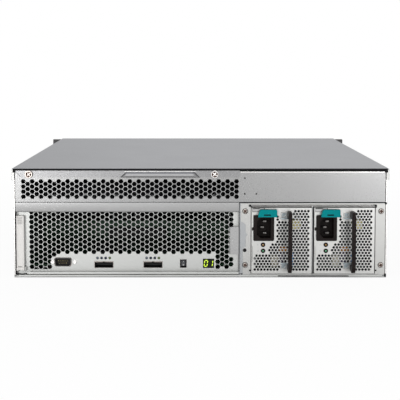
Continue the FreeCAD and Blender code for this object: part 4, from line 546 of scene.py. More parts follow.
def makeTub():
    v = tub
    w, skin, rear = v["halfWidth"], v["skin"], v["rear"]
    inner = w - skin
    frontTop = v["top"] - v["frontStep"]
    shape = bmesh.new()
    addPrism(shape, rectangle(rear, v["front"], 0, skin), "X", -w, w, 0.15, 1)
    wall = [(rear, skin), (v["front"], skin), (v["front"], frontTop), (v["coverEnd"], frontTop),
            (v["coverEnd"], v["top"]), (rear, v["top"])]
    for side in (-1, 1):
        addPrism(shape, wall, "X", side * inner, side * w, 0.15, 1)
    # the sill is drawn in the module's lighter zinc: painted light
    addPrism(shape, rectangle(-w, w, skin, v["sill"]), "Y", rear, rear + skin, paint=3)
    # painted shade: a thin dark box stands for the slot in the sill, which is not cut
    a, b, low, high = v["slot"]
    addBox(shape, (a, b), (rear - 0.03, rear + 0.5), (low, high), 0.1, 1, 2)
    earLeft, earTop = v["ear"]
    addPrism(shape, rectangle(earLeft, inner, skin, earTop), "Y", rear + skin, rear + 2 * skin)
    for left, right in v["runners"]:
        addBox(shape, (left, right), (rear + skin, v["runnerEnd"]), (skin, v["sill"]), 0.3, 1)
    half = v["panelHalf"]
    holes = honeycombCentres(v["ventLeft"], v["ventColumns"], v["ventStep"], v["ventTop"],
                             v["ventTop"] - v["ventPitch"] / 2, v["ventPitch"], 4,
                             lambda z, column, row: column % 2 == 0 or row < 3)
    outline = [rectangle(-half, half, v["seam"], v["panelTop"])]
    outline += [disc(x, z, v["smallHoleRadius"], 12) for x, z in v["smallHoles"]]
    addPunched(shape, outline, holes, rear, skin, tubZinc, v["holeRadius"])
    # the panel's side flanges, turned in behind the walls
    panel, opening = (v["seam"], v["panelTop"]), (v["sill"], v["panelTop"])
    addPair(shape, half, half - skin, (rear + skin, rear + 14), panel)
    addPair(shape, half - skin, inner, (rear + 12.8, rear + 14), panel)
    # painted shade: dark strips in the slits beside the panel, at the lower corners and along the seam
    addPair(shape, half + 0.1, inner, (rear - 0.01, rear + 0.6), opening, paint=2)
    addPair(shape, inner - 4.0, w - 0.4, (rear - 0.04, rear + 0.5), (v["sill"] - 1.2, v["sill"]), 0.3, 1, 2)
    for low, high in ((0.8, 4.6), (87.8, 90.4)):
        addBox(shape, (half - 0.6, w - 0.1), (rear - 0.04, rear + 0.5), (low, high), 0.1, 1, 2)
    seam, top, split = v["seam"], v["panelTop"], v["split"]
    addBox(shape, (-half, split), (rear - 0.01, rear + 0.3), (seam - 0.5, seam + 0.1), paint=2)
    addBox(shape, (split, half + 0.9), (rear - 0.01, rear + 0.3), (seam - 1.3, seam + 0.1), paint=2)
    # painted highlight along the right half of the panel's top edge
    addBox(shape, (split, half), (rear - 0.05, rear + 0.1), (top - 0.9, top - 0.1), paint=1)
    # painted highlight on the rear edges of the walls
    addPair(shape, w - 0.3, inner, (rear - 0.02, rear), opening, paint=1)
    finishPiece("tubSheet", shape, [tubZinc, brightSteelAndHighlight, paintedShadeBlack, moduleZinc], "chassis",
                ["chassis_tub"])
    print("tub made")


makeTub()


# cover

cover = {
    "halfWidth": 224.0, "rear": -261.0, "front": 239.0, "top": 131.0, "sheet": 1.0,
    "skirtLow": 117.0, "bend": 1.5,
    "flangeLeft": -220.3, "flangeRight": 46.7, "flangeLow": 120.4, "flangeTop": 128.3,
    "flangeRear": -261.4, "mitre": 7.6, "stepRear": -258.5,
    "shadeStrips": (221.4, -261.3, -261.0, 128.35, 130.8), "corner": (219.2, 222.4, 2.4),
    "gripLeft": -95.0, "gripRight": -0.4, "gripReach": 5.0, "gripRise": 6.6,
    "gripSlant": 6.5, "gripTaper": 4.5, "gripLean": 22.0,  # how the grip's ends close
    "knobs": (-203.2, 17.0), "knobZ": 124.1, "knobRadius": 4.5, "knobLength": 3.6,
}


def gripRows(v):
    # sections across the grip: a sharp upper edge, the slope down to the crown and the lip left open below
    section = [(0.0, 1.0), (0.12, 0.98), (0.3, 0.86), (0.62, 0.66), (0.9, 0.46), (1.0, 0.34), (0.98, 0.22),
               (0.84, 0.08), (0.74, 0.0)]
    rows = []
    count = 36
    for i in range(count + 1):
        t = (1 - math.cos(math.pi * i / count)) / 2
        x = v["gripLeft"] + (v["gripRight"] - v["gripLeft"]) * t
        near = min(x - v["gripLeft"], v["gripRight"] - x)
        rise = min(1.0, near / v["gripTaper"])
        deep = math.sin(rise * math.pi / 2)
        lean = v["gripSlant"] * (1 if t < 0.5 else -1) * max(0.0, 1 - near / v["gripLean"])
        rows.append([(x + lean * up, v["flangeRear"] - v["gripReach"] * out * deep,
                      v["flangeLow"] + v["gripRise"] * up)
                     for out, up in section])
    return rows


def makeCover():
    v = cover
    w, top, sheet, low, bend = v["halfWidth"], v["top"], v["sheet"], v["skirtLow"], v["bend"]
    rear, left, right = v["flangeRear"], v["flangeLeft"], v["flangeRight"]
    shape = bmesh.new()
    outer, inner = [(-w, low)], [(-w + sheet, low)]
    for radius, store in ((bend, outer), (bend - sheet, inner)):
        for cx, a0 in ((-w + bend, 180), (w - bend, 90)):
            store.extend(arc(cx, top - bend, radius, a0, -90, 4))
    outer.append((w, low))
    inner.append((w - sheet, low))
    addPrism(shape, outer + inner[::-1], "Y", v["rear"], v["front"], 0.2, 1)
    plate = [(left, v["flangeTop"]), (left + v["mitre"], v["flangeLow"]), (right, v["flangeLow"]),
             (right, v["flangeTop"])]
    addPunched(shape, [plate] + [disc(x, v["knobZ"], 2.4) for x in v["knobs"]], [], rear, sheet, flangeZinc,
               paint=1)
    step = v["stepRear"]
    web = [(rear + sheet, v["flangeTop"] - sheet), (step + sheet, v["flangeTop"] - sheet),
           (step + sheet, top - 0.8), (step, top - 0.8), (step, v["flangeTop"]),
           (rear + sheet, v["flangeTop"])]
    addPrism(shape, web, "X", left, right)
    rows = gripRows(v)
    # the upper slope painted darker, painted shade; the lower slope keeps the flange's zinc
    addSurface(shape, [row[:4] for row in rows], 0.8, 3)
    addSurface(shape, [row[3:] for row in rows], 0.8, 1)
    # the skirts' rear ends are turned in, which shows their bright edges
    addPair(shape, w - 0.2, w - 3.4, (rear, v["rear"]), (low, top - 1.6), 0.1, 1, 4)
    # the grip's upper edge: a painted highlight
    addBox(shape, (v["gripLeft"] + 5, v["gripRight"] - 5), (rear - 0.7, rear),
           (v["flangeLow"] + v["gripRise"] - 0.1, v["flangeLow"] + v["gripRise"] + 0.5), 0.1, 1, 2)
    finishPiece("coverSheet", shape, [coverZinc, flangeZinc, brightSteelAndHighlight, shadedZinc, frameZinc], "cover",
                ["top_cover"])
    # painted shade: black strips fill the slit between cover and panel
    shadeStrips = bmesh.new()
    half, near, far, foot, head = v["shadeStrips"]
    addBox(shadeStrips, (-half, half), (near, far), (v["top"] - sheet - 0.1, head))
    addBox(shadeStrips, (-half + 1.5, half - 1.5), (near + 0.3, step), (foot, v["top"] - sheet - 0.05))
    # and paint shade on the upper corners
    a, b, drop = v["corner"]
    addPair(shadeStrips, a, b, (rear - 0.2, rear + 0.1), (v["flangeTop"] - drop, head), 0.1, 1)
    # painted shade in the open seam of the flange's mitred corner
    a, b = v["flangeTop"], v["flangeLow"]
    addPrism(shadeStrips, [(left, a), (left + 0.5, a), (left + v["mitre"] + 0.5, b), (left + v["mitre"], b)],
             "Y", rear - 0.03, rear + 0.3)
    finishPiece("coverGasket", shadeStrips, paintedShadeBlack, "cover")
    knobs = bmesh.new()
    y, z, r, long = rear, v["knobZ"], v["knobRadius"], v["knobLength"]
    for number, x in enumerate(v["knobs"]):
        rim = r * (0.74, 0.8)[number]
        addTurned(knobs, [(r * 0.9, 0), (r * 0.9, long * 0.3), (r, long * 0.36), (r, long * 0.86),
                          (r * 0.94, long), (rim, long), (rim, long * 0.86), (rim, long * 0.5)],
                  (x, y, z), "-Y", 40, number)
        # painted shade: the cross and the inner wall of the rim are drawn dark
        cross = [(x + a, z + b) for a, b in crossOutline(rim * 0.82, rim * 0.2, 0.6 + 0.3 * number)]
        addPunched(knobs, [disc(x, z, rim, 40), cross], [], y - long * 0.8, long * 0.3, pinkNickel, paint=3)
        addTurned(knobs, [(rim * 0.98, 0), (rim * 0.98, long * 0.3)], (x, y, z), "-Y", 40, 2)
        addTurned(knobs, [(1.75, 0), (1.75, 6.0), (1.0, 6.6)], (x, y, z), "Y", 16)
    finishPiece("coverScrews", knobs, [nickelSteel, brightSteelAndHighlight, darkAndShadedNickel, recessShadeBrown], "cover")
    print("cover made")


makeCover()


# controller module

module = {
    "left": -220.0, "right": 46.0, "low": 3.3, "top": 90.0, "face": -252.0, "rear": -260.0,
    "skin": 1.2, "bend": 1.4, "stripLow": 78.5, "cutTop": 78.0,
    "ventLeft": -202.0, "ventColumns": 46, "ventStep": 5.31, "ventEven": 71.6, "ventOdd": 74.5,
    "ventPitch": 6.01, "holeRadius": 3.18,
    "tab": (34.8, 45.8, 27.8, 60.6), "lip": (-206.5, 6.6),
    "lug": ((-209.9, -208.5), -258.6, (7.2, 12.4)), "pin": ((-219.4, -256.0, 9.8), 1.5, 10.6),
    "serial": (-164.8, 17.2), "posts": (-177.2, -150.7), "links": (-115.7, -56.7), "linkZ": 14.0,
    "lensZ": 22.0, "lensStep": 4.9, "lensShift": -0.3, "lensRadius": 1.7,
    "rocker": (-20.3, 15.2), "display": (9.9, 15.5),
}


def lensPlaces():
    v = module
    return [(middle + v["lensStep"] * place + v["lensShift"], v["lensZ"]) for middle in v["links"]
            for place in (-1.5, -0.5, 0.5, 1.5)]


def faceCuts():
    # half holes, cut flat at the strip and above the lip, and the openings of the ports
    v = module
    r = v["holeRadius"]
    cuts = [cutHexagon(v["ventLeft"] + c * v["ventStep"], v["ventEven"] + v["ventPitch"], r, v["cutTop"])
            for c in range(0, v["ventColumns"], 2)]
    for c in (1, 3):
        x, z = v["ventLeft"] + c * v["ventStep"], 8.3
        cuts.append([(x - r, z), (x + r, z), (x + r / 2, z + r * 0.866), (x - r / 2, z + r * 0.866)])
    cx, cz = v["serial"]
    cuts.append(roundedRectangle(cx - 10.5, cx + 10.5, cz - 5.5, cz + 5.5, 2.4))
    x, z = v["rocker"]
    cuts.append(rectangle(x - 3.95, x + 3.95, z - 5.05, z + 5.05))
    x, z = v["display"]
    cuts.append(rectangle(x - 6.7, x + 6.7, z - 5.7, z + 5.7))
    cuts += [rectangle(x - 11.55, x + 11.55, v["linkZ"] - 4.15, v["linkZ"] + 4.15) for x in v["links"]]
    cuts += [disc(x, z, v["lensRadius"], 16) for x, z in lensPlaces()]
    post = v["posts"][1]
    cuts.append(disc(post, cz, 1.6, 12))
    return cuts


def makeModuleFace():
    v = module
    face, skin, rear = v["face"], v["skin"], v["rear"]
    shape = bmesh.new()
    # the strip at the top stands forward of the face, with its bends rounded
    low, bend = v["stripLow"], v["bend"]
    path = [(rear, v["top"])] + arc(rear + bend, low + bend, bend, 180, 90, 4)
    path += [(face + skin, low), (face + skin, low + skin)]
    path += arc(rear + bend, low + bend, bend - skin, 270, -90, 4)
    path.append((rear + skin, v["top"]))
    addPrism(shape, path, "X", v["left"], v["right"], paint=1)
    tabLeft, tabRight, tabLow, tabHigh = v["tab"]

    def keep(z, column, row):
        # the last column is broken off beside the pull tab, and only the outer ones run down past the ports
        if column == v["ventColumns"] - 1:
            return z > 58 or row > 8
        return row < 8 or column < 5 or column > 41 or (column == 5 and row == 8)

    holes = honeycombCentres(v["ventLeft"], v["ventColumns"], v["ventStep"], v["ventEven"], v["ventOdd"],
                             v["ventPitch"], 11, keep)
    outline = [rectangle(v["left"], v["right"], v["low"], v["stripLow"] + 0.4)]
    addPunched(shape, outline + faceCuts(), holes, face, skin, moduleZinc, v["holeRadius"])
    # pull tab: a hook bent out of the face
    addPrism(shape, [(tabLeft, face + 0.6), (tabLeft, rear + 1.1), (tabLeft + 0.8, rear + 0.3),
                     (tabRight, rear + 0.3), (tabRight, rear + 1.5), (tabLeft + 1.2, rear + 1.5),
                     (tabLeft + 1.2, face + 0.6)], "Z", tabLow, tabHigh, paint=1)
    # the ejector's lug and pin
    x, near, z = v["lug"]
    addBox(shape, x, (near, face + 0.6), z, 0.4, 1)
    place, radius, long = v["pin"]
    addTurned(shape, [(radius, 0), (radius, long)], place, "X", 20)
    # the lower edge runs out to the rear and turns up in a lip
    lipLeft, lipTop = v["lip"]
    lip = [(face + 0.6, v["low"]), (rear + 0.9, v["low"]), (rear, v["low"] + 0.9), (rear, lipTop),
           (rear + skin, lipTop), (rear + skin, v["low"] + 1.3), (face + 0.6, v["low"] + 1.0)]
    addPrism(shape, lip, "X", lipLeft, v["right"])
    finishPiece("moduleFaceSheet", shape, [moduleZinc, stripZinc], "module", ["module_face"])
    print("module face made")


makeModuleFace()


def scaled(points, cx, cz, wide, tall):
    return [(cx + (x - cx) * wide, cz + (z - cz) * tall) for x, z in points]


def serialOutline():
    # the D of the connector's shell
    cx, cz = module["serial"]
    return [(cx - 8.0, cz - 5.2), (cx + 8.0, cz - 5.2), (cx + 9.4, cz - 3.8), (cx + 10.2, cz + 3.6),
            (cx + 8.9, cz + 5.2), (cx - 8.9, cz + 5.2), (cx - 10.2, cz + 3.6), (cx - 9.4, cz - 3.8)]


def makeSerialShell():
    # the shell's rim, its flange and the two jack posts
    v = module
    face = v["face"]
    cx, cz = v["serial"]
    dInner = scaled(serialOutline(), cx, cz, 0.95, 0.9)
    metal = bmesh.new()
    addPunched(metal, [serialOutline(), dInner], [], face - 1.4, 9.6, darkAndShadedNickel, paint=1)
    addPunched(metal, [rectangle(cx - 12.4, cx + 15.3, cz - 6.1, cz + 6.1), dInner], [], face + 1.3, 1.0,
               nickelSteel)
    for x in v["posts"]:
        addTurned(metal, [(2.1, 0), (2.4, 0.5), (2.4, 3.4), (2.0, 3.7), (1.25, 3.7), (1.15, 3.0), (0, 2.9)],
                  (x, face + 1.6, cz), "-Y", 20, 2)
    finishPiece("serialShell", metal, [nickelSteel, darkAndShadedNickel, brightSteelAndHighlight], "module",
                ["module_ports"])


def makePortInserts():
    # black insulators of the serial connector and the link ports
    v = module
    face = v["face"]
    cx, cz = v["serial"]
    dInner = scaled(serialOutline(), cx, cz, 0.95, 0.9)
    insert = bmesh.new()
    addPunched(insert, [dInner], [], face + 4.2, 3.8, portPlastic)
    addPunched(insert, [scaled(dInner, cx, cz, 0.985, 0.985), scaled(dInner, cx, cz, 0.9, 0.86)], [],
               face - 1.3, 5.5, portPlastic)
    for x in v["links"]:
        z = v["linkZ"]
        addBox(insert, (x - 9.4, x + 9.4), (face + 4.0, face + 14.0), (z - 0.7, z + 0.7), 0.15, 1)
        addBox(insert, (x - 11.0, x + 11.0), (face + 14.0, face + 15.0), (z - 3.5, z + 3.5))
        addPunched(insert, [rectangle(x - 11.05, x + 11.05, z - 3.6, z + 3.6),
                            rectangle(x - 10.8, x + 10.8, z - 3.4, z + 2.9)],
                   [], face + 0.9, 13.0, portPlastic)
    finishPiece("portInserts", insert, portPlastic, "module")


def makeSerialPins():
    v = module
    face = v["face"]
    cx, cz = v["serial"]
    pin = bmesh.new()
    addTurned(pin, [(0.55, 0), (0.55, 4.2), (0.3, 4.7), (0, 4.8)], (0, 0, 0), "-Y", 8)
    pitch = 2.77
    places = [(cx + pitch * (i - (count - 1) / 2), face + 4.25, cz + level)
              for level, count in ((1.42, 5), (-1.42, 4)) for i in range(count)]
    pins = bmesh.new()
    repeatAt(pins, pin, places, goldFlash)
    finishPiece("serialPins", pins, goldFlash, "module")


def makeLinkShells():
    # link ports: a folded shell with a key notch in its upper edge
    v = module
    face = v["face"]
    shells = bmesh.new()
    for x in v["links"]:
        z = v["linkZ"]
        inner = [(x - 11.1, z - 3.65), (x + 11.1, z - 3.65), (x + 11.1, z + 3.1), (x + 1.5, z + 3.1),
                 (x + 1.1, z + 3.7), (x - 1.1, z + 3.7), (x - 1.5, z + 3.1), (x - 11.1, z + 3.1)]
        addPunched(shells, [rectangle(x - 11.4, x + 11.4, z - 3.95, z + 3.95), inner], [], face - 0.5, 16.0,
                   nickelSteel)
    finishPiece("linkShells", shells, nickelSteel, "module")


def makeRocker():
    # the rocker's frame, then the paddle with its marks
    v = module
    face = v["face"]
    x, z = v["rocker"]
    rockerFrame = bmesh.new()
    addRim(rockerFrame, (x - 3.8, x + 3.8, z - 4.9, z + 4.9, 0.6), (x - 2.9, x + 2.9, z - 4.0, z + 4.0, 0.3),
           [(face - 0.75, 0.25), (face - 0.5, 0.0), (face + 7.5, 0.0)], 3)
    addBox(rockerFrame, (x - 3.0, x + 3.0), (face + 6.6, face + 7.5), (z - 4.1, z + 4.1))
    finishPiece("rockerFrame", rockerFrame, blackNylon, "module")
    # the paddle: a shallow V with an I above and a ring below, turned about its pivot
    rocker = bmesh.new()
    wide, rise = 2.5, 3.3
    body = [(-4.2, -rise), (-3.9, -rise * 0.5), (-3.6, 0), (-3.9, rise * 0.5), (-4.2, rise),
            (0, rise * 0.5), (0, -rise * 0.5)]
    addPrism(rocker, body, "X", -wide, wide, 0.15, 2)
    marks = bmesh.new()
    addBox(marks, (-0.18, 0.18), (-4.16, -3.9), (1.3, 2.5))
    addPunched(marks, [disc(0, -1.9, 0.75, 20), disc(0, -1.9, 0.45, 20)], [], -4.16, 0.3, lightCoat)
    tip = Matrix.Translation((x, face + 3.0, z)) @ Matrix.Rotation(math.radians(-10), 4, "X")
    for part, name, material, old in ((rocker, "powerPaddle", carrierPlastic, ["power_rocker"]),
                                      (marks, "powerMarks", lightCoat, ())):
        bmesh.ops.transform(part, matrix=tip, verts=part.verts)
        finishPiece(name, part, material, "rocker", old)


def makeDisplay():
    # two digit display: slanted segments, the lit ones bright
    v = module
    face = v["face"]
    x, z = v["display"]
    block = bmesh.new()
    addBox(block, (x - 6.5, x + 6.5), (face - 0.1, face + 7.0), (z - 5.5, z + 5.5), 0.2, 1)
    finishPiece("displayBlock", block, displayFilter, "module")
    lit, unlit = bmesh.new(), bmesh.new()
    wide, tall, slant, thick = 1.75, 3.6, 0.14, 0.5
    segments = {"a": (-1, 1, 1, 1), "b": (1, 1, 1, 0), "c": (1, 0, 1, -1), "d": (-1, -1, 1, -1),
                "e": (-1, 0, -1, -1), "f": (-1, 1, -1, 0), "g": (-1, 0, 1, 0)}
    for place, shown in ((-3.1, "abcdef"), (3.1, "bc")):
        for name, (ax, az, bx, bz) in segments.items():
            p, q = Vector((ax * wide, az * tall)), Vector((bx * wide, bz * tall))
            along = (q - p).normalized()
            across = Vector((-along.y, along.x)) * thick
            p, q = p + along * 0.4, q - along * 0.4
            corners = [p, p + along * 0.4 + across, q - along * 0.4 + across, q, q - along * 0.4 - across,
                       p + along * 0.4 - across]
            outline = [(x + place + c.x + c.y * slant, z + c.y) for c in corners]
            addPrism(lit if name in shown else unlit, outline, "Y", face - 0.16, face - 0.05)
    finishPiece("litSegments", lit, litSegment, "module")
    finishPiece("unlitSegments", unlit, unlitSegment, "module")


def makeLenses():
    v = module
    face = v["face"]
    for name, material, offset in (("blueGrey", blueGreyLens, (0,)), ("navy", navyLens, (1, 2)),
                                   ("olive", oliveLens, (3,))):
        lens = bmesh.new()
        addTurned(lens, [(1.62, 0), (1.62, 3.2), (1.35, 3.6), (0.8, 3.85), (0, 3.9)], (0, 0, 0), "-Y", 16)
        lamps = bmesh.new()
        repeatAt(lamps, lens, [(x, face + 3.4, z) for i, (x, z) in enumerate(lensPlaces())
                               if i % 4 in offset], material)
        finishPiece(name + "Lamps", lamps, material, "module")


makeSerialShell()
makePortInserts()
makeSerialPins()
makeLinkShells()
makeRocker()
makeDisplay()
makeLenses()
print("ports made")


# ejector lever

ejector = {"left": -219.7, "right": -210.3, "rear": -259.0, "depth": 4.4, "pivotY": -256.0, "pivotZ": 9.8,
           "top": 74.0, "heel": 3.2, "wall": 1.2, "rib": 22.0}


def makeEjector():
    v = ejector
    shape = bmesh.new()
    left, right, near = v["left"], v["right"], v["rear"]
    start = v["pivotZ"] + v["heel"] - 0.8
    # the bar is a channel: a rounded back with two side walls
    outer = [(left, near + v["depth"]), (left, near + 1.0), (left + 0.3, near + 0.3), (left + 1.0, near),
             (right - 1.0, near), (right - 0.3, near + 0.3), (right, near + 1.0), (right, near + v["depth"])]
    inner = [(right - v["wall"], near + v["depth"]), (right - v["wall"], near + v["wall"]),
             (left + v["wall"], near + v["wall"]), (left + v["wall"], near + v["depth"])]
    addPrism(shape, outer + inner, "Z", start, v["top"] - 1.4)
    addBox(shape, (left, right), (near, near + v["depth"]), (v["top"] - 2.6, v["top"]), 0.8, 2)
    addBox(shape, (left + 0.6, right - 0.6), (near + v["wall"], near + v["depth"] - 0.4),
           (v["rib"], v["rib"] + 1.2))
    # two heel cheeks carry the pin
    for a, b in ((left, left + 2.2), (right - 2.2, right)):
        addPrism(shape, disc(v["pivotY"], v["pivotZ"], v["heel"], 18), "X", a, b, 0.2, 1)
    addBox(shape, (left + 2.0, right - 2.0), (near, near + 1.3), (v["pivotZ"] - 1.0, start + 1.0), 0.2, 1)
    for i in range(4):
        addBox(shape, (left + 1.6, right - 1.6), (near, near + 0.5),
               (v["top"] - 10 + 2 * i, v["top"] - 9.1 + 2 * i), 0.2, 1)
    finishPiece("ejectorLever", shape, lightCoat, "ejector", ["module_ejector"])
    print("ejector made")


makeEjector()


# supply bay frame

bayFrame = {
    "left": 48.0, "right": 220.5, "low": 3.3, "top": 90.0, "rear": -260.0, "end": -16.0,
    "skin": 1.2, "wall": 1.2, "divider": 134.25,
    "window": (60.0, 208.5, 4.5, 87.5), "keyhole": (52.9, 32.8, 2.3),
    "screws": ((53.4, 15.1), (53.4, 79.7), (215.1, 15.1), (215.1, 79.7)),
    "screwRadius": 3.0, "screwHeight": 1.8,
}


def makeBayFrame():
    v = bayFrame
    rear, skin, wall, end = v["rear"], v["skin"], v["wall"], v["end"]
    left, right, low, high = v["window"]
    shape = bmesh.new()
    window = [(left, low + 3.0), (left - 1.8, low + 3.0), (left - 1.8, low + 5.0), (left, low + 5.0),
              (left, high - 3.0), (left - 1.8, high - 3.0), (left - 1.8, high), (right + 1.6, high),
              (right + 1.6, high - 3.0), (right, high - 3.0), (right, low + 5.0), (right + 1.8, low + 5.0),
              (right + 1.8, low + 3.0), (right, low + 3.0), (right, low), (left, low)]
    keyhole = disc(*v["keyhole"], 14)
    back = rectangle(v["left"] + 0.2, v["right"], v["low"], v["top"])
    addPunched(shape, [back, window, keyhole], [], rear + 0.55, 0.65, frameShade, paint=1)
    front = [(50.7, 3.5), (220.4, 3.5), (220.4, 89.0), (48.3, 89.0), (48.3, 67.2), (50.4, 66.7),
             (53.8, 63.8), (54.0, 54.2), (56.4, 51.3), (54.2, 49.0), (54.1, 37.6), (52.0, 35.4), (50.7, 35.0)]
    addPunched(shape, [front, window, keyhole], [], rear, 0.5, frameZinc)
    addTube(shape, left - wall, right + wall, low - wall, high + wall, wall, (rear + skin, end), 1)
    addBox(shape, (v["divider"] - 0.5, v["divider"] + 0.5), (rear + 6.0, end - 6.0), (low, high), paint=1)
    # a folded lip under the frame's upper edge, its bright face a painted highlight
    addBox(shape, (left + 0.6, right - 0.6), (rear + 0.4, rear + 3.0), (high - 2.0, high - 1.2), 0.2, 1, 2)
    finishPiece("bayFrameSheet", shape, [frameZinc, frameShade, brightSteelAndHighlight], "chassis",
                ["supply_bay_frame"])
    # painted shade: dark strips behind the keyhole, in the notches and along the frame's upper edge
    dark = bmesh.new()
    x, z, r = v["keyhole"]
    addTurned(dark, [(r * 0.98, 0), (r * 0.98, 0.3)], (x, rear + 1.1, z), "-Y", 14)
    addBox(dark, (left + 0.4, right - 0.4), (rear + 0.5, rear + 2.0), (high - 0.9, high - 0.1))
    for a, b, c, d in ((left - 2.6, left + 0.4, high - 2.4, high + 0.4),
                       (right - 3.2, right + 1.2, high - 1.2, high + 0.4),
                       (right - 0.2, right + 1.2, high - 4.0, high - 1.0),
                       (left - 1.4, left + 0.2, low + 3.0, low + 5.0),
                       (right - 0.2, right + 1.6, low + 3.0, low + 5.0),
                       (v["left"] + 0.2, v["left"] + 2.2, v["low"] + 0.2, v["low"] + 1.6)):
        addBox(dark, (a, b), (rear - 0.02, rear + 0.4), (c, d), 0.15, 1)
    finishPiece("bayFrameShades", dark, paintedShadeBlack, "chassis")
    places = [(x, rear, z, 0, 0.3 + 0.5 * i, 0) for i, (x, z) in enumerate(v["screws"])]
    r, height = v["screwRadius"], v["screwHeight"]
    screws = bmesh.new()
    repeatAt(screws, crossHeadScrew(r, height, 1.7, 7.0, pinkNickel), places, pinkNickel)
    # painted shade in the screws' cross recesses
    drive = bmesh.new()
    addTurned(drive, [(r * 0.71, 0), (r * 0.71, height * 0.47)], (0, 0, 0), "-Y", 20)
    repeatAt(screws, drive, places, recessShadeBrown, 1)
    # a dark ring round each screw head: painted shadow
    shadowRing = bmesh.new()
    addTurned(shadowRing, [(r * 1.14, 0), (r * 1.14, 0.12), (r * 0.9, 0.12)], (0, 0, 0), "-Y", 20)
    repeatAt(screws, shadowRing, places, paintedShadeBlack, 2)
    finishPiece("bayFrameScrews", screws, [nickelSteel, recessShadeBrown, paintedShadeBlack], "chassis")
    print("bay frame made")


makeBayFrame()


# power supplies

supply = {
    "places": (60.9, 135.7), "low": 4.8, "width": 71.9, "height": 79.0, "rear": -260.0, "depth": 240.0,
    "sheet": 1.0, "skin": 1.2, "faceSheet": 0.8, "film": 0.3,
    "holeRadius": 1.68, "holeStep": 1.92, "holeRise": 3.34,
    "guide": (0.7, 2.9, 51.6, 55.6), "edgeSlot": (0.5, 1.3, 14.0, 33.0),
    "backWindow": (22.0, 50.0, 3.5, 22.0), "inlet": (14.6, 54.9), "lamps": (34.6, 27.3), "lampX": 13.9,
    "handleX": 42.6, "handleWidth": 4.2, "handleLow": 3.4, "handleHeight": 72.2, "handleReach": 21.0,
    "handleCorners": (6.0, 3.0), "handleBar": 6.6, "handleFoot": 7.6, "pivot": 3.4,
    "latch": (7.6, 30.2, 68.5, 77.5), "latchNear": 3.2, "latchFar": 7.5,
    "strip": (1.3, 14.8, 74.6, 78.6),
}


def supplyHoles():
    # staggered rows, left out round the inlet, the lamps, the latch and the brackets
    v = supply
    found = [(31.1, 68.3)]
    for row in range(22):
        z = 4.7 + v["holeRise"] * row
        for column in range(17):
            x = 4.2 + v["holeStep"] * (2 * column + row % 2)
            bracket = 33.9 < x < 44.5 and (z < 13.2 or z > 64.8)
            inField = (x > 50 or z < 22 or (x > 29.5 and z < 65) or (x > 24 and z < 35) or
                       (x > 21.4 and 24 < z < 32))
            if x < 68.4 and inField and not bracket:
                found.append((x, z))
    return found


def moved(span, x, z):
    # a (left, right, low, high) span, set at a corner
   
    left, right, low, high = span
    return x + left, x + right, z + low, z + high


def supplyCorner(number):
    return supply["places"][number - 1], supply["low"], supply["rear"]


def makeSupplyCase(number):
    v = supply
    x0, z0, rear = supplyCorner(number)
    wide, tall, sheet, skin = v["width"], v["height"], v["sheet"], v["skin"]
    cx, cz = x0 + v["inlet"][0], z0 + v["inlet"][1]
    end = rear + v["depth"]
    shape = bmesh.new()
    outline = roundedRectangle(x0, x0 + wide, z0, z0 + tall, 0.5, 2)
    cuts = [rectangle(cx - 11.3, cx + 11.3, cz - 14.5, cz + 14.5), rectangle(*moved(v["guide"], x0, z0)),
            rectangle(*moved(v["edgeSlot"], x0, z0))]
    cuts += [disc(x0 + v["lampX"], z0 + z, 2.6, 20) for z in v["lamps"]]
    holes = [(x0 + x, z0 + z) for x, z in supplyHoles()]
    addPunched(shape, [outline] + cuts, holes, rear, v["faceSheet"], supplyZinc, v["holeRadius"])
    addTube(shape, x0, x0 + wide, z0, z0 + tall, sheet, (rear + v["faceSheet"], end))
    # a black film insulates the inside of the case; its black is also painted shade that darkens the inside
    insideCase = (x0 + sheet, x0 + wide - sheet, z0 + sheet, z0 + tall - sheet)
    addTube(shape, *insideCase, v["film"], (rear + skin, end - 2.0), 1)
    addPunched(shape, [rectangle(*insideCase), rectangle(*moved(v["backWindow"], x0, z0))],
               [(x0 + 12 + 6 * i + 3 * (j % 2), z0 + 30 + 5.2 * j) for i in range(9) for j in range(8)],
               end - 1.0, 1.0, supplyZinc, 2.4)
    finishPiece(f"supplyCase{number}", shape, [supplyZinc, paintedShadeBlack], f"supply_{number}",
                [f"supply_case_{number}"])


def makeHandleBrackets(number):
    # handle brackets: a plate on the face with an ear that carries the pin
    v = supply
    x0, z0, rear = supplyCorner(number)
    brackets = bmesh.new()
    left, right = x0 + 34.9, x0 + 42.3
    middle = x0 + v["handleX"] + v["handleWidth"] / 2
    for low, high, earLow in ((5.3, 11.9, 11.7), (67.1, 73.7, 65.9)):
        addRim(brackets, (left, right, z0 + low, z0 + high, 0.8),
               (left + 1.0, right - 1.0, z0 + low + 1.0, z0 + high - 1.0, 0.5),
               [(rear - 1.7, 0.2), (rear - 1.4, 0.0), (rear - 0.1, 0.0)], 2, 1)
        addBox(brackets, (left + 0.5, right - 0.5), (rear - 1.1, rear), (z0 + low + 0.5, z0 + high - 0.5),
               0.2, 1)
        # a pressed, curved rib across the plate
        turns = [math.radians(10 * i) for i in range(9)]
        rib = [(left + 1.7 + 4.0 * math.sin(a), z0 + low + 1.4 + 3.8 * (1 - math.cos(a))) for a in turns]
        back = [(x + 0.5, z - 0.5) for x, z in rib[::-1]]
        addPrism(brackets, rib + back, "Y", rear - 1.6, rear - 1.0, paint=1)
        addBox(brackets, (left, middle + 2.2), (rear - 5.4, rear), (z0 + earLow, z0 + earLow + 1.4), 0.35, 2)
        pinLow = earLow + 0.2 if earLow > 30 else earLow - 4.4
        addTurned(brackets, [(1.2, 0), (1.2, 5.3)], (middle, rear - v["pivot"], z0 + pinLow), "Z", 16)
    finishPiece(f"handleBrackets{number}", brackets, [blueZinc, supplyZinc], f"supply_{number}")


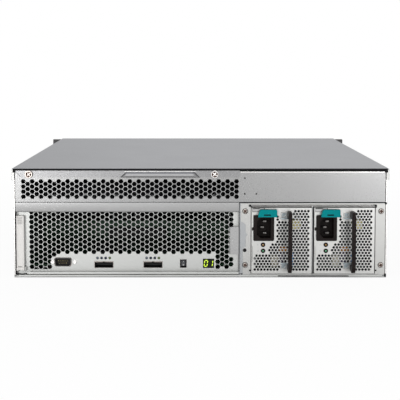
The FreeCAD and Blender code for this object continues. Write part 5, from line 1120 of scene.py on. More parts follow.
def makeSupplyHandle(number):
    # handle: a bail with rounded corners and a rounded section
    v = supply
    x0, z0, rear = supplyCorner(number)
    handle = bmesh.new()
    reach, low = rear - v["handleReach"], z0 + v["handleLow"]
    high = low + v["handleHeight"]
    outside, within = v["handleCorners"]
    heel, bar, foot = rear - 0.8, reach + v["handleBar"], v["handleFoot"]
    outer = arc(reach + outside, high - outside, outside, 90, 90, 6)
    outer += arc(reach + outside, low + outside, outside, 180, 90, 6)
    inner = arc(bar + within, low + foot + within, within, 270, -90, 4)
    inner += arc(bar + within, high - foot - within, within, 180, -90, 4)
    path = [(heel - 1.0, high)] + outer + [(heel - 1.0, low), (heel, low + 1.0), (heel, low + foot)]
    path += inner + [(heel, high - foot), (heel, high - 1.0)]
    addPrism(handle, path, "X", x0 + v["handleX"], x0 + v["handleX"] + v["handleWidth"], 1.0, 3)
    finishPiece(f"supplyHandle{number}", handle, blackNylon, f"supply_handle_body_{number}",
                [f"supply_handle_{number}"])


def makeSupplyLatch(number):
    # release latch: a teal cap with a finger recess, on a steel spring strip
    v = supply
    x0, z0, rear = supplyCorner(number)
    left, right, low, high = moved(v["latch"], x0, z0)
    capX, capZ = (left + right) / 2, (low + high) / 2
    outline = [(left, low), (right - 0.6, low), (right, low + 0.6), (right, high - 0.8), (right - 0.8, high),
               (left + 3.0, high), (left + 1.6, high - 1.4), (left + 0.2, low + 3.6)]
    recess = roundedRectangle(capX - 4.6, capX + 3.8, low + 1.9, low + 3.5, 0.5, 2)
    cap = bmesh.new()
    near = rear - v["latchFar"]
    addPunched(cap, [outline, recess], [], near + 0.6, 3.7, tealNylon)
    addPunched(cap, [scaled(outline, capX, capZ, 0.95, 0.9), recess], [], near, 0.6, tealNylon)
    addPrism(cap, outline, "Y", near + 2.6, rear - v["latchNear"])
    # painted shade on the floor of the finger recess
    addPrism(cap, scaled(recess, capX, low + 2.7, 0.98, 0.95), "Y", near + 2.2, near + 2.7, paint=1)
    finishPiece(f"latchCap{number}", cap, [tealNylon, paintedShadeBlack], f"supply_latch_body_{number}",
                [f"supply_latch_{number}"])
    strip = bmesh.new()
    a, b, low, high = moved(v["strip"], x0, z0)
    addPunched(strip, [[(a, low), (b, low), (b, high), (a + 8.4, high), (a + 8.4, high - 0.9),
                        (a, high - 0.9)]], [], rear - 1.3, 1.0, stripZinc)
    # a dark box round the strip's edge: painted shadow
    addBox(strip, (a - 0.2, b + 1.0), (rear - 0.25, rear - 0.05), (low - 0.7, high + 0.1), paint=1)
    addBox(strip, (b - 3.6, b), (rear - 4.2, rear - 0.4), (low, low + 1.8), 0.2, 1)
    finishPiece(f"latchStrip{number}", strip, [stripZinc, paintedShadeBlack], f"supply_latch_body_{number}")


def makeMainsInlet(number):
    # mains inlet: flange, bevelled cavity and three blades
    v = supply
    x0, z0, rear = supplyCorner(number)
    body = f"supply_{number}"
    cx, cz = x0 + v["inlet"][0], z0 + v["inlet"][1]
    inlet = bmesh.new()
    half, rise = 12.3, 15.5
    cavity = [(cx - 8.2, cz - 7.7), (cx - 3.7, cz - 12.2), (cx + 7.4, cz - 12.2), (cx + 8.2, cz - 11.4),
              (cx + 8.2, cz + 11.4), (cx + 7.4, cz + 12.2), (cx - 3.7, cz + 12.2), (cx - 8.2, cz + 7.7)]
    for grow, near, deep in ((0, rear - 1.8, 1.8), (-0.4, rear - 2.1, 0.3), (-0.9, rear - 2.4, 0.3)):
        edge = roundedRectangle(cx - half - grow, cx + half + grow, cz - rise - grow, cz + rise + grow, 1.6)
        addPunched(inlet, [edge, scaled(cavity, cx, cz, 1 - grow * 0.03, 1 - grow * 0.02)], [], near, deep,
                   inletNylon)
    addPunched(inlet, [rectangle(cx - half + 1.4, cx + half - 1.4, cz - rise + 1.4, cz + rise - 1.4),
                       cavity], [], rear, 14.1, inletNylon)
    addBox(inlet, (cx - half + 1.4, cx + half - 1.4), (rear + 14.1, rear + 21.0),
           (cz - rise + 1.4, cz + rise - 1.4))
    finishPiece(f"mainsInlet{number}", inlet, inletNylon, body, [f"supply_inlet_{number}"])
    # blades in darker nickel: painted shade of the cavity
    blades = bmesh.new()
    for dx, dz in ((1.5, 7.0), (1.5, -7.0), (-1.5, 0.0)):
        addBox(blades, (cx + dx - 2.0, cx + dx + 2.0), (rear + 5.0, rear + 14.1),
               (cz + dz - 1.0, cz + dz + 1.0), 0.35, 2)
    finishPiece(f"inletBlades{number}", blades, darkAndShadedNickel, body)


def makeSupplyLamps(number):
    # lamps in black bezels, the catch slot's black guide, and the two pressed marks
    v = supply
    x0, z0, rear = supplyCorner(number)
    body = f"supply_{number}"
    lampX = x0 + v["lampX"]
    rings = bmesh.new()
    addBox(rings, (x0 + 0.3, x0 + 3.0), (rear - 0.1, rear + 1.0), (z0 + 51.6, z0 + 55.6), 0.2, 1)
    for z in v["lamps"]:
        addTurned(rings, [(2.0, 0.1), (2.75, 0.1), (2.75, 0.4), (2.5, 0.7), (2.2, 0.75), (2.0, 0.5)],
                  (lampX, rear, z0 + z), "-Y", 24)
    finishPiece(f"lampRings{number}", rings, blackNylon, body)
    for z, name, material in ((v["lamps"][0], "amber", amberLens), (v["lamps"][1], "green", greenLens)):
        lens = bmesh.new()
        addTurned(lens, [(1.95, 0), (1.95, 2.6), (1.6, 3.0), (0.9, 3.3), (0.0, 3.4)],
                  (lampX, rear + 2.7, z0 + z), "-Y", 20)
        finishPiece(f"{name}Lamp{number}", lens, material, body)
    marks = bmesh.new()
    for z, sides in zip(v["lamps"], (3, 4)):
        rings = [arc(lampX - 6.3, z0 + z, r, 90, 360, sides)[:-1] for r in (1.3, 0.8)]
        addPunched(marks, rings, [], rear - 0.04, 0.1, frameShade)
    finishPiece(f"lampMarks{number}", marks, frameShade, body)


for number in (1, 2):
    makeSupplyCase(number)
    makeHandleBrackets(number)
    makeSupplyHandle(number)
    makeSupplyLatch(number)
    makeMainsInlet(number)
    makeSupplyLamps(number)
    print("supply", number, "made")


# inside of the module: tray, board with its chips, plug

board = {
    "x": (-217.0, 43.0), "y": (-226.8, -18.8), "z": (8.0, 9.6),
    "rails": ((-190.4, -177.1), (5.1, 18.4)), "railLow": 4.5,
    "expander": ((-139.0, -102.6), (-154.0, -117.6), 21.7),
    "processor": ((-55.8, -26.7), (-143.6, -114.5), 18.7),
    "plug": ((-127.0, -47.0), (-23.5, -17.5), 21.6), "fins": 11, "seed": 7,
}
tray = {"x": (-220.0, 46.0), "y": (-250.8, -16.8), "low": 3.3, "sheet": 1.0, "high": 31.3}


def addFins(shape, x, y, low, high, count, paint=0):
    # a base plate under thin upright fins
    addBox(shape, x, y, (low, low + 2.4), 0.15, 1, paint)
    step = (x[1] - x[0]) / count
    fin = bmesh.new()
    addBox(fin, (-0.45, 0.45), (y[0] + 0.4, y[1] - 0.4), (low + 2.2, high))
    repeatAt(shape, fin, [(x[0] + step * (i + 0.5), 0, 0) for i in range(count)], finAluminium, paint)


def makeModuleInside():
    v = tray
    left, right = v["x"]
    near, far = v["y"]
    low, sheet = v["low"], v["sheet"]
    shape = bmesh.new()
    addBox(shape, (left, right), (near, far), (low, low + sheet), 0.1, 1)
    for a, b in ((left, left + sheet), (right - sheet, right)):
        addBox(shape, (a, b), (near, far), (low, v["high"]), 0.1, 1)
    addBox(shape, (left + sheet, left + 7), (near, far), (v["high"] - sheet, v["high"]), 0.1, 1)
    addBox(shape, (right - 7, right - sheet), (near, far), (v["high"] - sheet, v["high"]), 0.1, 1)
    finishPiece("moduleTraySheet", shape, frameShade, "module", ["module_tray"])
    v = board
    low, top = v["z"]
    shape = bmesh.new()
    addBox(shape, v["x"], v["y"], v["z"], 0.1, 1)
    for x in v["rails"]:
        addBox(shape, x, v["y"], (v["railLow"], low), 0, 1, 1)
    finishPiece("moduleBoard", shape, [boardLaminate, blackNylon], "module",
                ["module_board"])
    sinks = bmesh.new()
    for x, y, high in (v["expander"], v["processor"]):
        addFins(sinks, x, y, top, high, v["fins"])
    finishPiece("moduleSinks", sinks, finAluminium, "module")
    chips = bmesh.new()
    spread = [(-200, -200, 9, 9), (-180, -172, 14, 10), (-186, -120, 18, 18), (-160, -60, 10, 14),
              (-90, -190, 20, 12), (-84, -150, 8, 22), (-72, -90, 14, 14), (-20, -190, 9, 14),
              (8, -172, 14, 9), (10, -110, 16, 22), (16, -60, 9, 9), (-130, -200, 9, 9), (-150, -94, 12, 8),
              (-36, -64, 22, 9)]
    for x, y, wide, deep in spread:
        addBox(chips, (x - wide / 2, x + wide / 2), (y - deep / 2, y + deep / 2), (top, top + 1.6), 0.15, 1)
    small = bmesh.new()
    addBox(small, (-0.9, 0.9), (-0.5, 0.5), (0, 0.9), 0.1, 1)
    places = []
    for i in range(130):
        x = -208 + (i * 61 + v["seed"] * 13) % 244
        y = -218 + (i * 37 + v["seed"] * 5) % 186
        places.append((x, y, top, 0, 0, math.pi / 2 * (i % 2)))
    repeatAt(chips, small, places, chipEpoxy)
    finishPiece("moduleChips", chips, chipEpoxy, "module")
    plug = bmesh.new()
    (a, b), (near, far), high = v["plug"]
    addBox(plug, (a, b), (near, far), (top, high), 0.3, 1)
    for i in range(4):
        addBox(plug, (a + 3 + 19 * i, a + 17 + 19 * i), (far - 0.1, far), (top + 3, high - 3), paint=1)
    finishPiece("modulePlug", plug, [portPlastic, goldFlash], "module")
    print("module inside made")


makeModuleInside()


# fans: curved blades round a hub, in a frame with struts

def addRotor(shape, hub, tip, depth, blades, sweep, centre):
    # the hub is a cup with a domed rear face, and each blade twists and leans forward as it runs out
    addTurned(shape, [(hub * 0.93, 0), (hub, 1.0), (hub, depth - 1.5), (hub * 0.94, depth - 0.3),
                      (hub * 0.5, depth), (0, depth)], centre, "-Y", 40)
    x, y, z = centre
    steps, across = 7, 6
    blade = bmesh.new()
    rows = []
    for i in range(steps + 1):
        s = i / steps
        radius = hub * 0.97 + (tip - hub * 0.97) * s
        reach = math.radians(sweep) * (0.95 - 0.15 * s)
        lean = math.radians(16) * s * s
        row = []
        for j in range(across + 1):
            t = j / across
            a = lean + reach * (t - 0.5)
            rise = depth * (0.08 + 0.8 * (t + 0.14 * math.sin(math.pi * t)) * (1 - 0.12 * s))
            row.append((radius * math.sin(a), -rise, radius * math.cos(a)))
        rows.append(row)
    addSurface(blade, rows, 1.3)
    repeatAt(shape, blade, [(x, y, z, 0, 2 * math.pi * i / blades, 0) for i in range(blades)], fanPlastic)


def addFanFrame(shape, x, z, near, depth, span, bore, hub, strut=3.0):
    # a square frame with a round bore, a boss and four struts on its rear side, open corners for the screws
    half = span / 2
    corners = [(x + a * half * 0.875, z + b * half * 0.875) for a in (-1, 1) for b in (-1, 1)]
    outline = roundedRectangle(x - half, x + half, z - half, z + half, span * 0.04)
    screwHoles = [disc(a, b, span * 0.02, 12) for a, b in corners]
    for start, deep in ((near, 3.0), (near + depth - 3.0, 3.0)):
        addPunched(shape, [outline, disc(x, z, bore, 64)] + screwHoles, [], start, deep, fanPlastic)
    addPunched(shape, [disc(x, z, bore + 1.6, 64), disc(x, z, bore, 64)], [], near + 2.8, depth - 5.6,
               fanPlastic)
    addTurned(shape, [(hub, 0), (hub, strut - 0.6), (hub * 0.9, strut)], (x, near + strut, z), "-Y", 32)
    for turn in (20, 110, 200, 290):
        arm = bmesh.new()
        addBox(arm, (hub * 0.8, bore + 1.0), (0.2, strut - 0.4), (-1.2, 1.2), 0.2, 1)
        addPart(shape, arm, 0, Matrix.Translation((x, near, z)) @ Matrix.Rotation(math.radians(turn), 4, "Y"))


fans = {"x": (-159.0, -35.0), "z": 61.5, "near": 38.0, "depth": 38.0, "span": 119.6, "bore": 57.5,
        "hub": 22.0, "tip": 56.0, "rotorNear": 41.3, "rotorDepth": 34.2, "blades": 7, "sweep": 46}


def makeFans():
    v = fans
    shape = bmesh.new()
    for x in v["x"]:
        addFanFrame(shape, x, v["z"], v["near"], v["depth"], v["span"], v["bore"], v["hub"])
    finishPiece("fanFrames", shape, fanPlastic, "chassis", ["fan_housings"])
    for number, x in enumerate(v["x"], start=1):
        shape = bmesh.new()
        addRotor(shape, v["hub"], v["tip"], v["rotorDepth"], v["blades"], v["sweep"],
                 (x, v["rotorNear"] + v["rotorDepth"], v["z"]))
        finishPiece(f"fanRotor{number}", shape, fanPlastic, f"fan_{number}",
                    [f"fan_rotor_{number}"])
    print("fans made")


makeFans()


# supply insides: board, wound parts, capacitor, sinks and the fan

inside = {
    "board": ((2.0, 69.9), (25.0, 212.7), (1.3, 2.9)), "transformer": ((40.3, 66.1), (29.0, 66.5), 60.7),
    "nearSink": ((4.0, 7.0), (29.0, 141.6), 44.8), "farSink": ((63.9, 66.9), (77.6, 171.4), 53.1),
    "choke": ((35.4, 45.4), (27.0, 34.0), (20.4, 27.4)), "sleeve": ((35.5, 41.5), (27.5, 38.5), 20.5),
    "film": ((25.4, 34.0), (27.0, 38.0), 16.4), "winding": (10.0, 3.8, 12.0),
    "relay": ((48.0, 52.6), (25.4, 28.8), 20.4), "capacitor": (25.9, 103.8, 10.8, 42.5),
    "fan": (35.95, 35.8, -45.3, 25.0, 68.8, 32.5, 13.0), "rotor": (-42.0, 21.4, 31.0),
}
boardTop = inside["board"][2][1]


def putInside(number, name, shape, material, old=(), body="supply_"):
    # these parts are drawn from the supply's lower left rear corner
    x0, z0, rear = supplyCorner(number)
    finishPiece(f"supply{name}{number}", shape, material, f"{body}{number}", old, (x0, rear, z0))


def makeSupplyBoard(number):
    shape = bmesh.new()
    addBox(shape, *inside["board"], 0.1, 1)
    putInside(number, "Board", shape, boardLaminate, [f"supply_inside_{number}"])


def makeTransformer(number):
    # transformer: two core halves round a taped winding
    v = inside
    (a, b), (near, far), high = v["transformer"]
    inLeft, inRight, tall = v["winding"]
    wound = bmesh.new()
    addBox(wound, (a + inLeft, b - inRight), (near, far), (high - tall, high - 0.3), 1.6, 2)
    putInside(number, "Winding", wound, yellowTape)
    core = bmesh.new()
    addBox(core, (a, b), (near + 8, far - 8), (boardTop, boardTop + 6), 0.4, 1)
    addBox(core, (a + 2, b - 2), (near + 5, far - 5), (boardTop + 5, high - tall), 0.8, 1)
    for low, edge in ((a, a + 3.6), (b - 3.6, b)):
        addBox(core, (low, edge), (near + 8, far - 8), (boardTop + 5, high - 8), 0.4, 1)
    putInside(number, "Core", core, finAluminium)


def makeSinks(number):
    # a plate with short fins across it
    v = inside
    sinks = bmesh.new()
    for x, y, high in (v["nearSink"], v["farSink"]):
        addBox(sinks, (x[0] + 1.0, x[1] - 1.0), y, (boardTop, high), 0.1, 1)
        count = int((y[1] - y[0]) / 5)
        fin = bmesh.new()
        addBox(fin, x, (-0.5, 0.5), (boardTop + 1, high - 0.6))
        repeatAt(sinks, fin, [(0, y[0] + 2.5 + (y[1] - y[0] - 5) * i / count, 0) for i in range(count + 1)],
                 castAluminium)
    putInside(number, "Sinks", sinks, castAluminium)


def makeChoke(number):
    # choke: an amber winding lying on its sleeve
    v = inside
    ring = bmesh.new()
    (a, b), y, (low, high) = v["choke"]
    middle = (low + high) / 2
    addTurned(ring, [(1.6, 0), (2.6, 0.3), (middle - low, 1.4), (middle - low, b - a - 1.4),
                     (2.6, b - a - 0.3), (1.6, b - a)],
              (a, y[0] + 4, middle), "X", 20)
    putInside(number, "Choke", ring, amberWinding)
    for key, material, slot in (("sleeve", violetSleeve, "black_plastic"), ("film", beigeFilm, "port_metal"),
                                ("relay", blueFilm, "black_plastic")):
        block = bmesh.new()
        x, y, high = v[key]
        addBox(block, x, y, (boardTop, high), 0.8, 2)
        putInside(number, key.capitalize(), block, material)


def makeCapacitor(number):
    v = inside
    x, y, radius, high = v["capacitor"]
    can = bmesh.new()
    addTurned(can, [(radius * 0.96, 0), (radius, 0.6), (radius, 3.2), (radius * 0.95, 3.8), (radius, 4.4),
                    (radius, high - boardTop - 0.6), (radius * 0.94, high - boardTop)], (x, y, boardTop),
              "Z", 32)
    addTurned(can, [(radius * 0.88, 0), (radius * 0.88, 0.05)], (x, y, high - 0.02), "Z", 32, 1)
    putInside(number, "Capacitor", can, [navyLens, castAluminium])


def makeSupplyFan(number):
    v = inside
    x, z, near, depth, span, bore, hub = v["fan"]
    fan = bmesh.new()
    near += supply["depth"]
    addFanFrame(fan, x, z, near, depth, span, bore, hub)
    putInside(number, "FanFrame", fan, fanPlastic)
    start, long, tip = v["rotor"]
    rotor = bmesh.new()
    addRotor(rotor, hub, tip, long, fans["blades"], fans["sweep"], (x, supply["depth"] + start + long, z))
    putInside(number, "Rotor", rotor, fanPlastic, [f"supply_rotor_{number}"], "supply_fan_")


for number in (1, 2):
    makeSupplyBoard(number)
    makeTransformer(number)
    makeSinks(number)
    makeChoke(number)
    makeCapacitor(number)
    makeSupplyFan(number)
    print("supply inside", number, "made")


# drive carriers and their levers, one shape each, set into sixteen bays

carrier = {
    "columns": (-164.4, -54.8, 54.8, 164.4), "rows": 4, "row": 4.2, "rowStep": 31.2, "front": 260.3,
    "half": 53.6, "low": -0.3, "high": 29.1, "depth": 15.0,
    "recess": (-50.5, 42.6, 2.3, 26.5, 6.0), "vent": (-25.0, 25.0, 9.2, 19.6),
    "tray": (52.3, -150.0, 18.0, 1.0), "drive": (50.8, -147.3, -0.3, 1.3, 27.4),
    "lamps": (48.0, (19.0, 12.0)), "pivot": (-46.6, 10.0),
    "lever": (-2.7, 88.0, -2.7, 2.7, 4.7, 2.9, 25.9), "hollow": (17.6, 70.4, 8.65, 20.15),
}


def carrierBezel():
    v = carrier
    half, low, high, depth = v["half"], v["low"], v["high"], v["depth"]
    left, right, foot, head, floor = v["recess"]
    ventLeft, ventRight, ventLow, ventHigh = v["vent"]
    bezel = bmesh.new()
    addRim(bezel, (-half, half, low, high, 1.2), (left, right, foot, head, 0.8),
           [(depth, 0.7), (depth - 0.7, 0.0), (floor - 0.1, 0.0)], 3)
    addRim(bezel, (-half, half, low, high, 0.6), (ventLeft, ventRight, ventLow, ventHigh, 0.6),
           [(floor, 0.0), (0.0, 0.0)], 3)
    # slats in the air slot and grip lines beside the lamps
    slat = bmesh.new()
    addBox(slat, (-0.6, 0.6), (0.8, floor - 0.8), (ventLow - 0.1, ventHigh + 0.1))
    repeatAt(bezel, slat, [(ventLeft + 5 * i, 0, 0) for i in range(1, 10)], carrierPlastic)
    for i in range(3):
        addBox(bezel, (right + 2.2, half - 2.2), (depth - 0.1, depth), (foot + 1.4 * i, foot + 0.7 + 1.4 * i))
    return bezel


def carrierTray():
    v = carrier
    wide, end, side, sheet = v["tray"]
    trayShape = bmesh.new()
    path = [(-wide, 0), (wide, 0), (wide, side), (wide - sheet, side), (wide - sheet, sheet),
            (sheet - wide, sheet), (sheet - wide, side), (-wide, side)]
    addPrism(trayShape, path, "Y", end, 0)
    return trayShape


def carrierLamps():
    v = carrier
    x, z = v["lamps"]
    lens = bmesh.new()
    for level in z:
        addTurned(lens, [(1.35, 0), (1.35, 0.3), (1.1, 0.5), (0, 0.55)],
                  (x, v["depth"] - 0.56, level), "Y", 16)
    return lens


def carrierDrive():
    # the drive: a cast body with a raised lid, screws and a label field left bare
    v = carrier
    wide, end, near, foot, head = v["drive"]
    drive = bmesh.new()
    addBox(drive, (-wide, wide), (end, near), (foot, head - 1.6), 0.8, 2)
    addBox(drive, (-wide + 2.5, wide - 2.5), (end + 3, near - 3), (head - 1.8, head), 0.8, 2)
    screw = bmesh.new()
    addTurned(screw, [(2.2, 0), (2.2, 0.3), (1.4, 0.32)], (0, 0, 0), "Z", 10)
    spots = [(a * (wide - 6), b, head - 0.33) for a in (-1, 1) for b in (end + 8, (end + near) / 2, near - 8)]
    repeatAt(drive, screw, spots, castAluminium)
    return drive


def carrierLever():
    # the lever: a bar with a bevelled heel, a rimmed hollow and a hooked tip with a grip
    v = carrier
    heel, tip, back, bar, hook, leverLow, leverHigh = v["lever"]
    a, b, c, d = v["hollow"]
    lever = bmesh.new()
    plan = [(heel, -1.6), (-1.6, back), (tip, back), (tip, hook - 0.8), (tip - 0.8, hook), (tip - hook, hook),
            (tip - 2 * hook, 1.35), (-1.6, 1.35), (heel, 0.2)]
    addPrism(lever, plan, "Z", leverLow, leverHigh, 0.35, 1)
    addRim(lever, (-1.4, tip - 2 * hook + 1.0, leverLow + 0.3, leverHigh - 0.3, 0.8), (a, b, c, d, 2.0),
           [(1.2, 0.0), (bar - 0.5, 0.0), (bar, 0.5)], 4)
    rib = bmesh.new()
    addBox(rib, (-0.4, 0.4), (1.3, 1.9), (c - 0.5, d + 0.5))
    repeatAt(lever, rib, [(b - 4 - 2.4 * i, 0, 0) for i in range(6)], leverPlastic)
    return lever


def makeCarriers():
    v = carrier
    bezel, trayShape, lens = carrierBezel(), carrierTray(), carrierLamps()
    drive, lever = carrierDrive(), carrierLever()
    pivotX, pivotY = v["pivot"]
    for column, x in enumerate(v["columns"]):
        for row in range(v["rows"]):
            name = f"{'abcd'[column]}{row + 1}"
            place = (x, v["front"], v["row"] + v["rowStep"] * row)
            body = f"carrier_{name}"
            for part, label, material, slot, old in (
                (bezel, "Bezel", carrierPlastic, "carrier_plastic", [f"drive_carrier_{name}"]),
                (trayShape, "Tray", frameShade, "supply_sheet", ()),
                (lens, "Lamps", clearGreyLens, "port_metal", ()),
                (drive, "Drive", castAluminium, "port_metal", ()),
            ):
                finishPiece(f"carrier{label}_{name}", part, material, body, old, place, True)
            hinge = (place[0] + pivotX, place[1] + pivotY, place[2])
            finishPiece(f"carrierLever_{name}", lever, leverPlastic, f"lever_{name}",
                        [f"carrier_lever_{name}"], hinge, True)
    for part in (bezel, trayShape, lens, drive, lever):
        part.free()
    print("carriers made")


makeCarriers()


# rack ears

ears = {"inner": 222.0, "tip": 241.3, "y": (260.0, 262.0), "z": (1.5, 128.0), "leg": (222.0, 224.0),
        "legStart": 224.0, "legTop": 116.4, "slot": 232.55, "slotZ": (36.9, 94.1), "slotRadius": 3.4,
        "slotLong": 10.3}


def makeEars():
    v = ears
    shape = bmesh.new()
    low, high = v["z"]
    near, far = v["y"]
    for side in (-1, 1):
        edge = sorted((side * v["inner"], side * v["tip"]))
        slots = []
        for z in v["slotZ"]:
            half = v["slotLong"] / 2
            a, b = side * v["slot"] - half, side * v["slot"] + half
            slots.append(roundedRectangle(a, b, z - v["slotRadius"], z + v["slotRadius"],
                                          v["slotRadius"] - 0.01, 6))
        addPunched(shape, [roundedRectangle(*edge, low, high, 1.0)] + slots, [], near, far - near, darkCoat)
    addPair(shape, *v["leg"], (v["legStart"], near + 1.0), (low, v["legTop"]), 0.3, 1)
    finishPiece("rackEars", shape, darkCoat, "chassis", ["rack_ears"])
    print("ears made")


makeEars()


# deck over the lower bays with the wall beside the module

shelf = {"half": 220.5, "y": (-258.8, -11.8), "deck": (90.9, 92.1), "flangeTop": 106.1, "skin": 1.2,
         "wall": (46.9, 48.1), "flangeEnd": 58.2, "ribs": (-180.0, 40.0, 12)}


def makeShelf():
    v = shelf
    half, skin = v["half"], v["skin"]
    near, far = v["y"]
    low, top = v["deck"]
    shape = bmesh.new()
    deck = [(-half, low), (half, low), (half, v["flangeTop"]), (half - skin, v["flangeTop"]),
            (half - skin, top), (skin - half, top), (skin - half, v["flangeTop"]), (-half, v["flangeTop"])]
    addPrism(shape, deck, "Y", near, far)
    a, b = v["wall"]
    addBox(shape, (a, b), (near, far), (skin, low))
    addBox(shape, (b, v["flangeEnd"]), (near, near + skin), (skin, low))
    # pressed ribs stiffen the deck
    start, step, long = v["ribs"]
    rib = bmesh.new()
    addBox(rib, (-long / 2, long / 2), (near + 50, far - 40), (top, top + 0.8), 0.35, 2)
    repeatAt(shape, rib, [(start + step * i, 0, 0) for i in range(10)], frameShade)
    finishPiece("middleShelf", shape, frameShade, "chassis", ["middle_shelf"])


# boards: the midplane and the plug board behind the rear bays

midplane = {"half": 220.2, "y": (96.0, 98.4), "z": (1.5, 128.8), "air": (43.84, 17.25, 25.95),
            "socket": (40.0, 104.4, 2.0, 6.0), "plugBoard": ((-11.2, -8.8), (1.5, 31.5)),
            "moduleSocket": ((-127.0, -47.0), 5.7, (10.4, 22.4)),
            "supplySocket": (15.95, 40.0, -19.7, (7.5, 19.5)), "chip": 9.0}


def makeMidplane():
    v = midplane
    half = v["half"]
    near, far = v["y"]
    low, high = v["z"]
    wide, airLow, airHigh = v["air"]
    rowStep = carrier["rowStep"]
    shape = bmesh.new()
    slots = [rectangle(x - wide, x + wide, airLow + rowStep * row, airHigh + rowStep * row)
             for x in carrier["columns"] for row in range(carrier["rows"])]
    addPunched(shape, [rectangle(-half, half, low, high)] + slots, [], near, far - near, boardLaminate)
    (boardNear, boardFar), span = v["plugBoard"]
    addBox(shape, (-half, half), (boardNear, boardFar), span, 0.1, 1)
    finishPiece("midplaneBoards", shape, boardLaminate, "chassis", ["midplane"])
    sockets = bmesh.new()
    wide, end, foot, head = v["socket"]
    one = bmesh.new()
    addBox(one, (-wide, 0), (far, end), (foot, foot + head), 0.3, 1)
    repeatAt(sockets, one, [(x, 0, carrier["row"] + rowStep * row) for x in carrier["columns"]
                            for row in range(carrier["rows"])], portPlastic)
    (a, b), reach, span = v["moduleSocket"]
    addBox(sockets, (a, b), (boardNear - reach, boardNear), span, 0.3, 1)
    offset, wide, start, span = v["supplySocket"]
    for x in supply["places"]:
        addBox(sockets, (x + offset, x + offset + wide), (start, boardNear), span, 0.3, 1)
    finishPiece("midplaneSockets", sockets, portPlastic, "chassis")
    chips = bmesh.new()
    one = bmesh.new()
    addBox(one, (-v["chip"] / 2, v["chip"] / 2), (near - 1.4, near), (0, v["chip"] * 0.7), 0.15, 1)
    repeatAt(chips, one, [(-206 + 20.6 * i, 0, 6.0 + rowStep * (i % 4)) for i in range(21)], chipEpoxy)
    finishPiece("midplaneChips", chips, chipEpoxy, "chassis")


# drive cage with its guide rails

cage = {"half": 219.8, "y": (101.4, 259.4), "z": (1.5, 128.7), "wall": 1.2, "rail": (3.4, 1.2)}


def makeCage():
    v = cage
    half, wall = v["half"], v["wall"]
    near, far = v["y"]
    low, high = v["z"]
    shape = bmesh.new()
    addBox(shape, (-half, half), v["y"], (low, low + wall))
    addBox(shape, (-half, half), v["y"], (high - wall, high))
    columns = carrier["columns"]
    halfBay = (columns[1] - columns[0]) / 2
    places = [x - halfBay for x in columns] + [columns[-1] + halfBay]
    for x in places:
        a, b = max(x - wall / 2, -half), min(x + wall / 2, half)
        addBox(shape, (a, b), v["y"], (low + wall, high - wall))
    # guide rails with a pressed lead-in at the front end
    wide, thick = v["rail"]
    rail = bmesh.new()
    addPrism(rail, [(near, 0), (far, 0), (far, thick * 0.4), (far - 6, thick), (near, thick)], "X", 0, wide)
    spots = []
    edge = halfBay - wall / 2
    for x in columns:
        for row in range(carrier["rows"]):
            z = low + wall + carrier["rowStep"] * row
            spots += [(x - edge, 0, z), (x + edge - wide, 0, z)]
    repeatAt(shape, rail, spots, frameShade)
    finishPiece("driveCage", shape, frameShade, "chassis", ["drive_cage"])
    print("shelf, midplane and cage made")


makeShelf()
makeMidplane()
makeCage()


# floor, light and camera

def makeStage():
    shape = bmesh.new()
    bmesh.ops.create_grid(shape, x_segments=1, y_segments=1, size=40.0)
    mesh = bpy.data.meshes.new("floor")
    shape.to_mesh(mesh)
    shape.free()
    floor = addObject("floor", mesh)
    material, tree, surface = newMaterial("paleFloor")
    tree.nodes.remove(surface)
    output = next(n for n in tree.nodes if n.type == "OUTPUT_MATERIAL")
    path = addNode(tree, "ShaderNodeLightPath")
    place = addNode(tree, "ShaderNodeTexCoord")
    away = addNode(tree, "ShaderNodeVectorMath", None, {0: place.outputs["Object"]}, operation="LENGTH")
    # white to the camera, with a little of the real floor left near the shelf for its shadow
    fade = addNode(tree, "ShaderNodeMapRange",
                   {"From Min": 0.45, "From Max": 1.1, "To Min": 0.93, "To Max": 1.0},
                   
                   {"Value": away.outputs["Value"]})
    share = addNode(tree, "ShaderNodeMath", None,
                    {0: path.outputs["Is Camera Ray"], 1: fade.outputs["Result"]}, operation="MULTIPLY")
    matt = addNode(tree, "ShaderNodeBsdfDiffuse", {"Color": colour("#f4f4f4")})
    white = addNode(tree, "ShaderNodeEmission", {"Color": (1, 1, 1, 1), "Strength": 1.0})
    both = addNode(tree, "ShaderNodeMixShader", None, {0: share.outputs[0]})
    tree.links.new(matt.outputs[0], both.inputs[1])
    tree.links.new(white.outputs[0], both.inputs[2])
    tree.links.new(both.outputs[0], output.inputs["Surface"])
    mesh.materials.append(material)


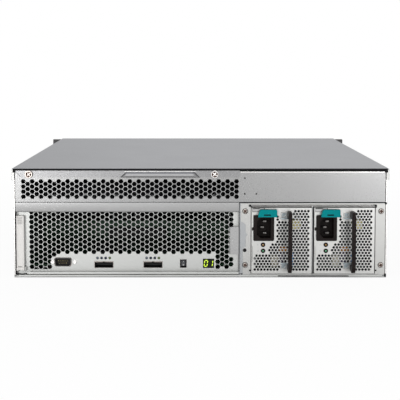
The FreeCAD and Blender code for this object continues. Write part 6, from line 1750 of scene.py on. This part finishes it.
lamps = (
    # name, place, aim, size, power
    ("leftLamp", (-0.78, -2.3, 0.25), (-0.16, -0.26, 0.08), 0.5, 10.0),
    ("rightLamp", (0.84, -2.3, 0.25), (0.16, -0.26, 0.08), 0.5, 7.2),
    ("topLamp", (-0.5, -0.9, 2.2), (0, 0, 0.06), 1.6, 7.0),
    ("frontLamp", (0.3, 1.8, 1.8), (0, 0, 0.1), 1.6, 6.0),
)


def makeLight():
    world = bpy.data.worlds.new("studio")
    bpy.context.scene.world = world
    world.use_nodes = True
    tree = world.node_tree
    tree.nodes.clear()
    path = addNode(tree, "ShaderNodeLightPath")
    seen = addNode(tree, "ShaderNodeMath", None,
                   {0: path.outputs["Is Camera Ray"], 1: path.outputs["Is Glossy Ray"]}, operation="MAXIMUM")
    seen = addNode(tree, "ShaderNodeMath", None, {0: seen.outputs[0], 1: path.outputs["Is Transmission Ray"]},
                   operation="MAXIMUM")
    strength = addNode(tree, "ShaderNodeMapRange", {"To Min": 0.7, "To Max": 1.0}, {"Value": seen.outputs[0]})
    back = addNode(tree, "ShaderNodeBackground", {"Color": (1, 1, 1, 1)},
                   {"Strength": strength.outputs["Result"]})
    addNode(tree, "ShaderNodeOutputWorld", None, {"Surface": back.outputs[0]})
    for name, place, aim, size, power in lamps:
        lamp = bpy.data.lights.new(name, "AREA")
        lamp.size = size
        lamp.energy = power
        holder = addObject(name, lamp)
        holder.location = place
        holder.rotation_euler = (Vector(aim) - Vector(place)).to_track_quat("-Z", "Y").to_euler()


camera = {"place": (-0.01052, -1.52658, 0.25657), "down": 0.0760, "lens": 96.6, "sensor": 36.0,
          "shift": (0.0213, -0.1406)}


def makeCamera():
    view = bpy.data.cameras.new("photoCamera")
    view.sensor_width = camera["sensor"]
    view.lens = camera["lens"]
    view.shift_x, view.shift_y = camera["shift"]
    holder = addObject("photoCamera", view)
    holder.location = camera["place"]
    holder.rotation_euler = (math.pi / 2 - camera["down"], 0, 0)
    bpy.context.scene.camera = holder


makeStage()
makeLight()
makeCamera()
bpy.context.scene.view_settings.view_transform = "Standard"
print("floor, light and camera made")
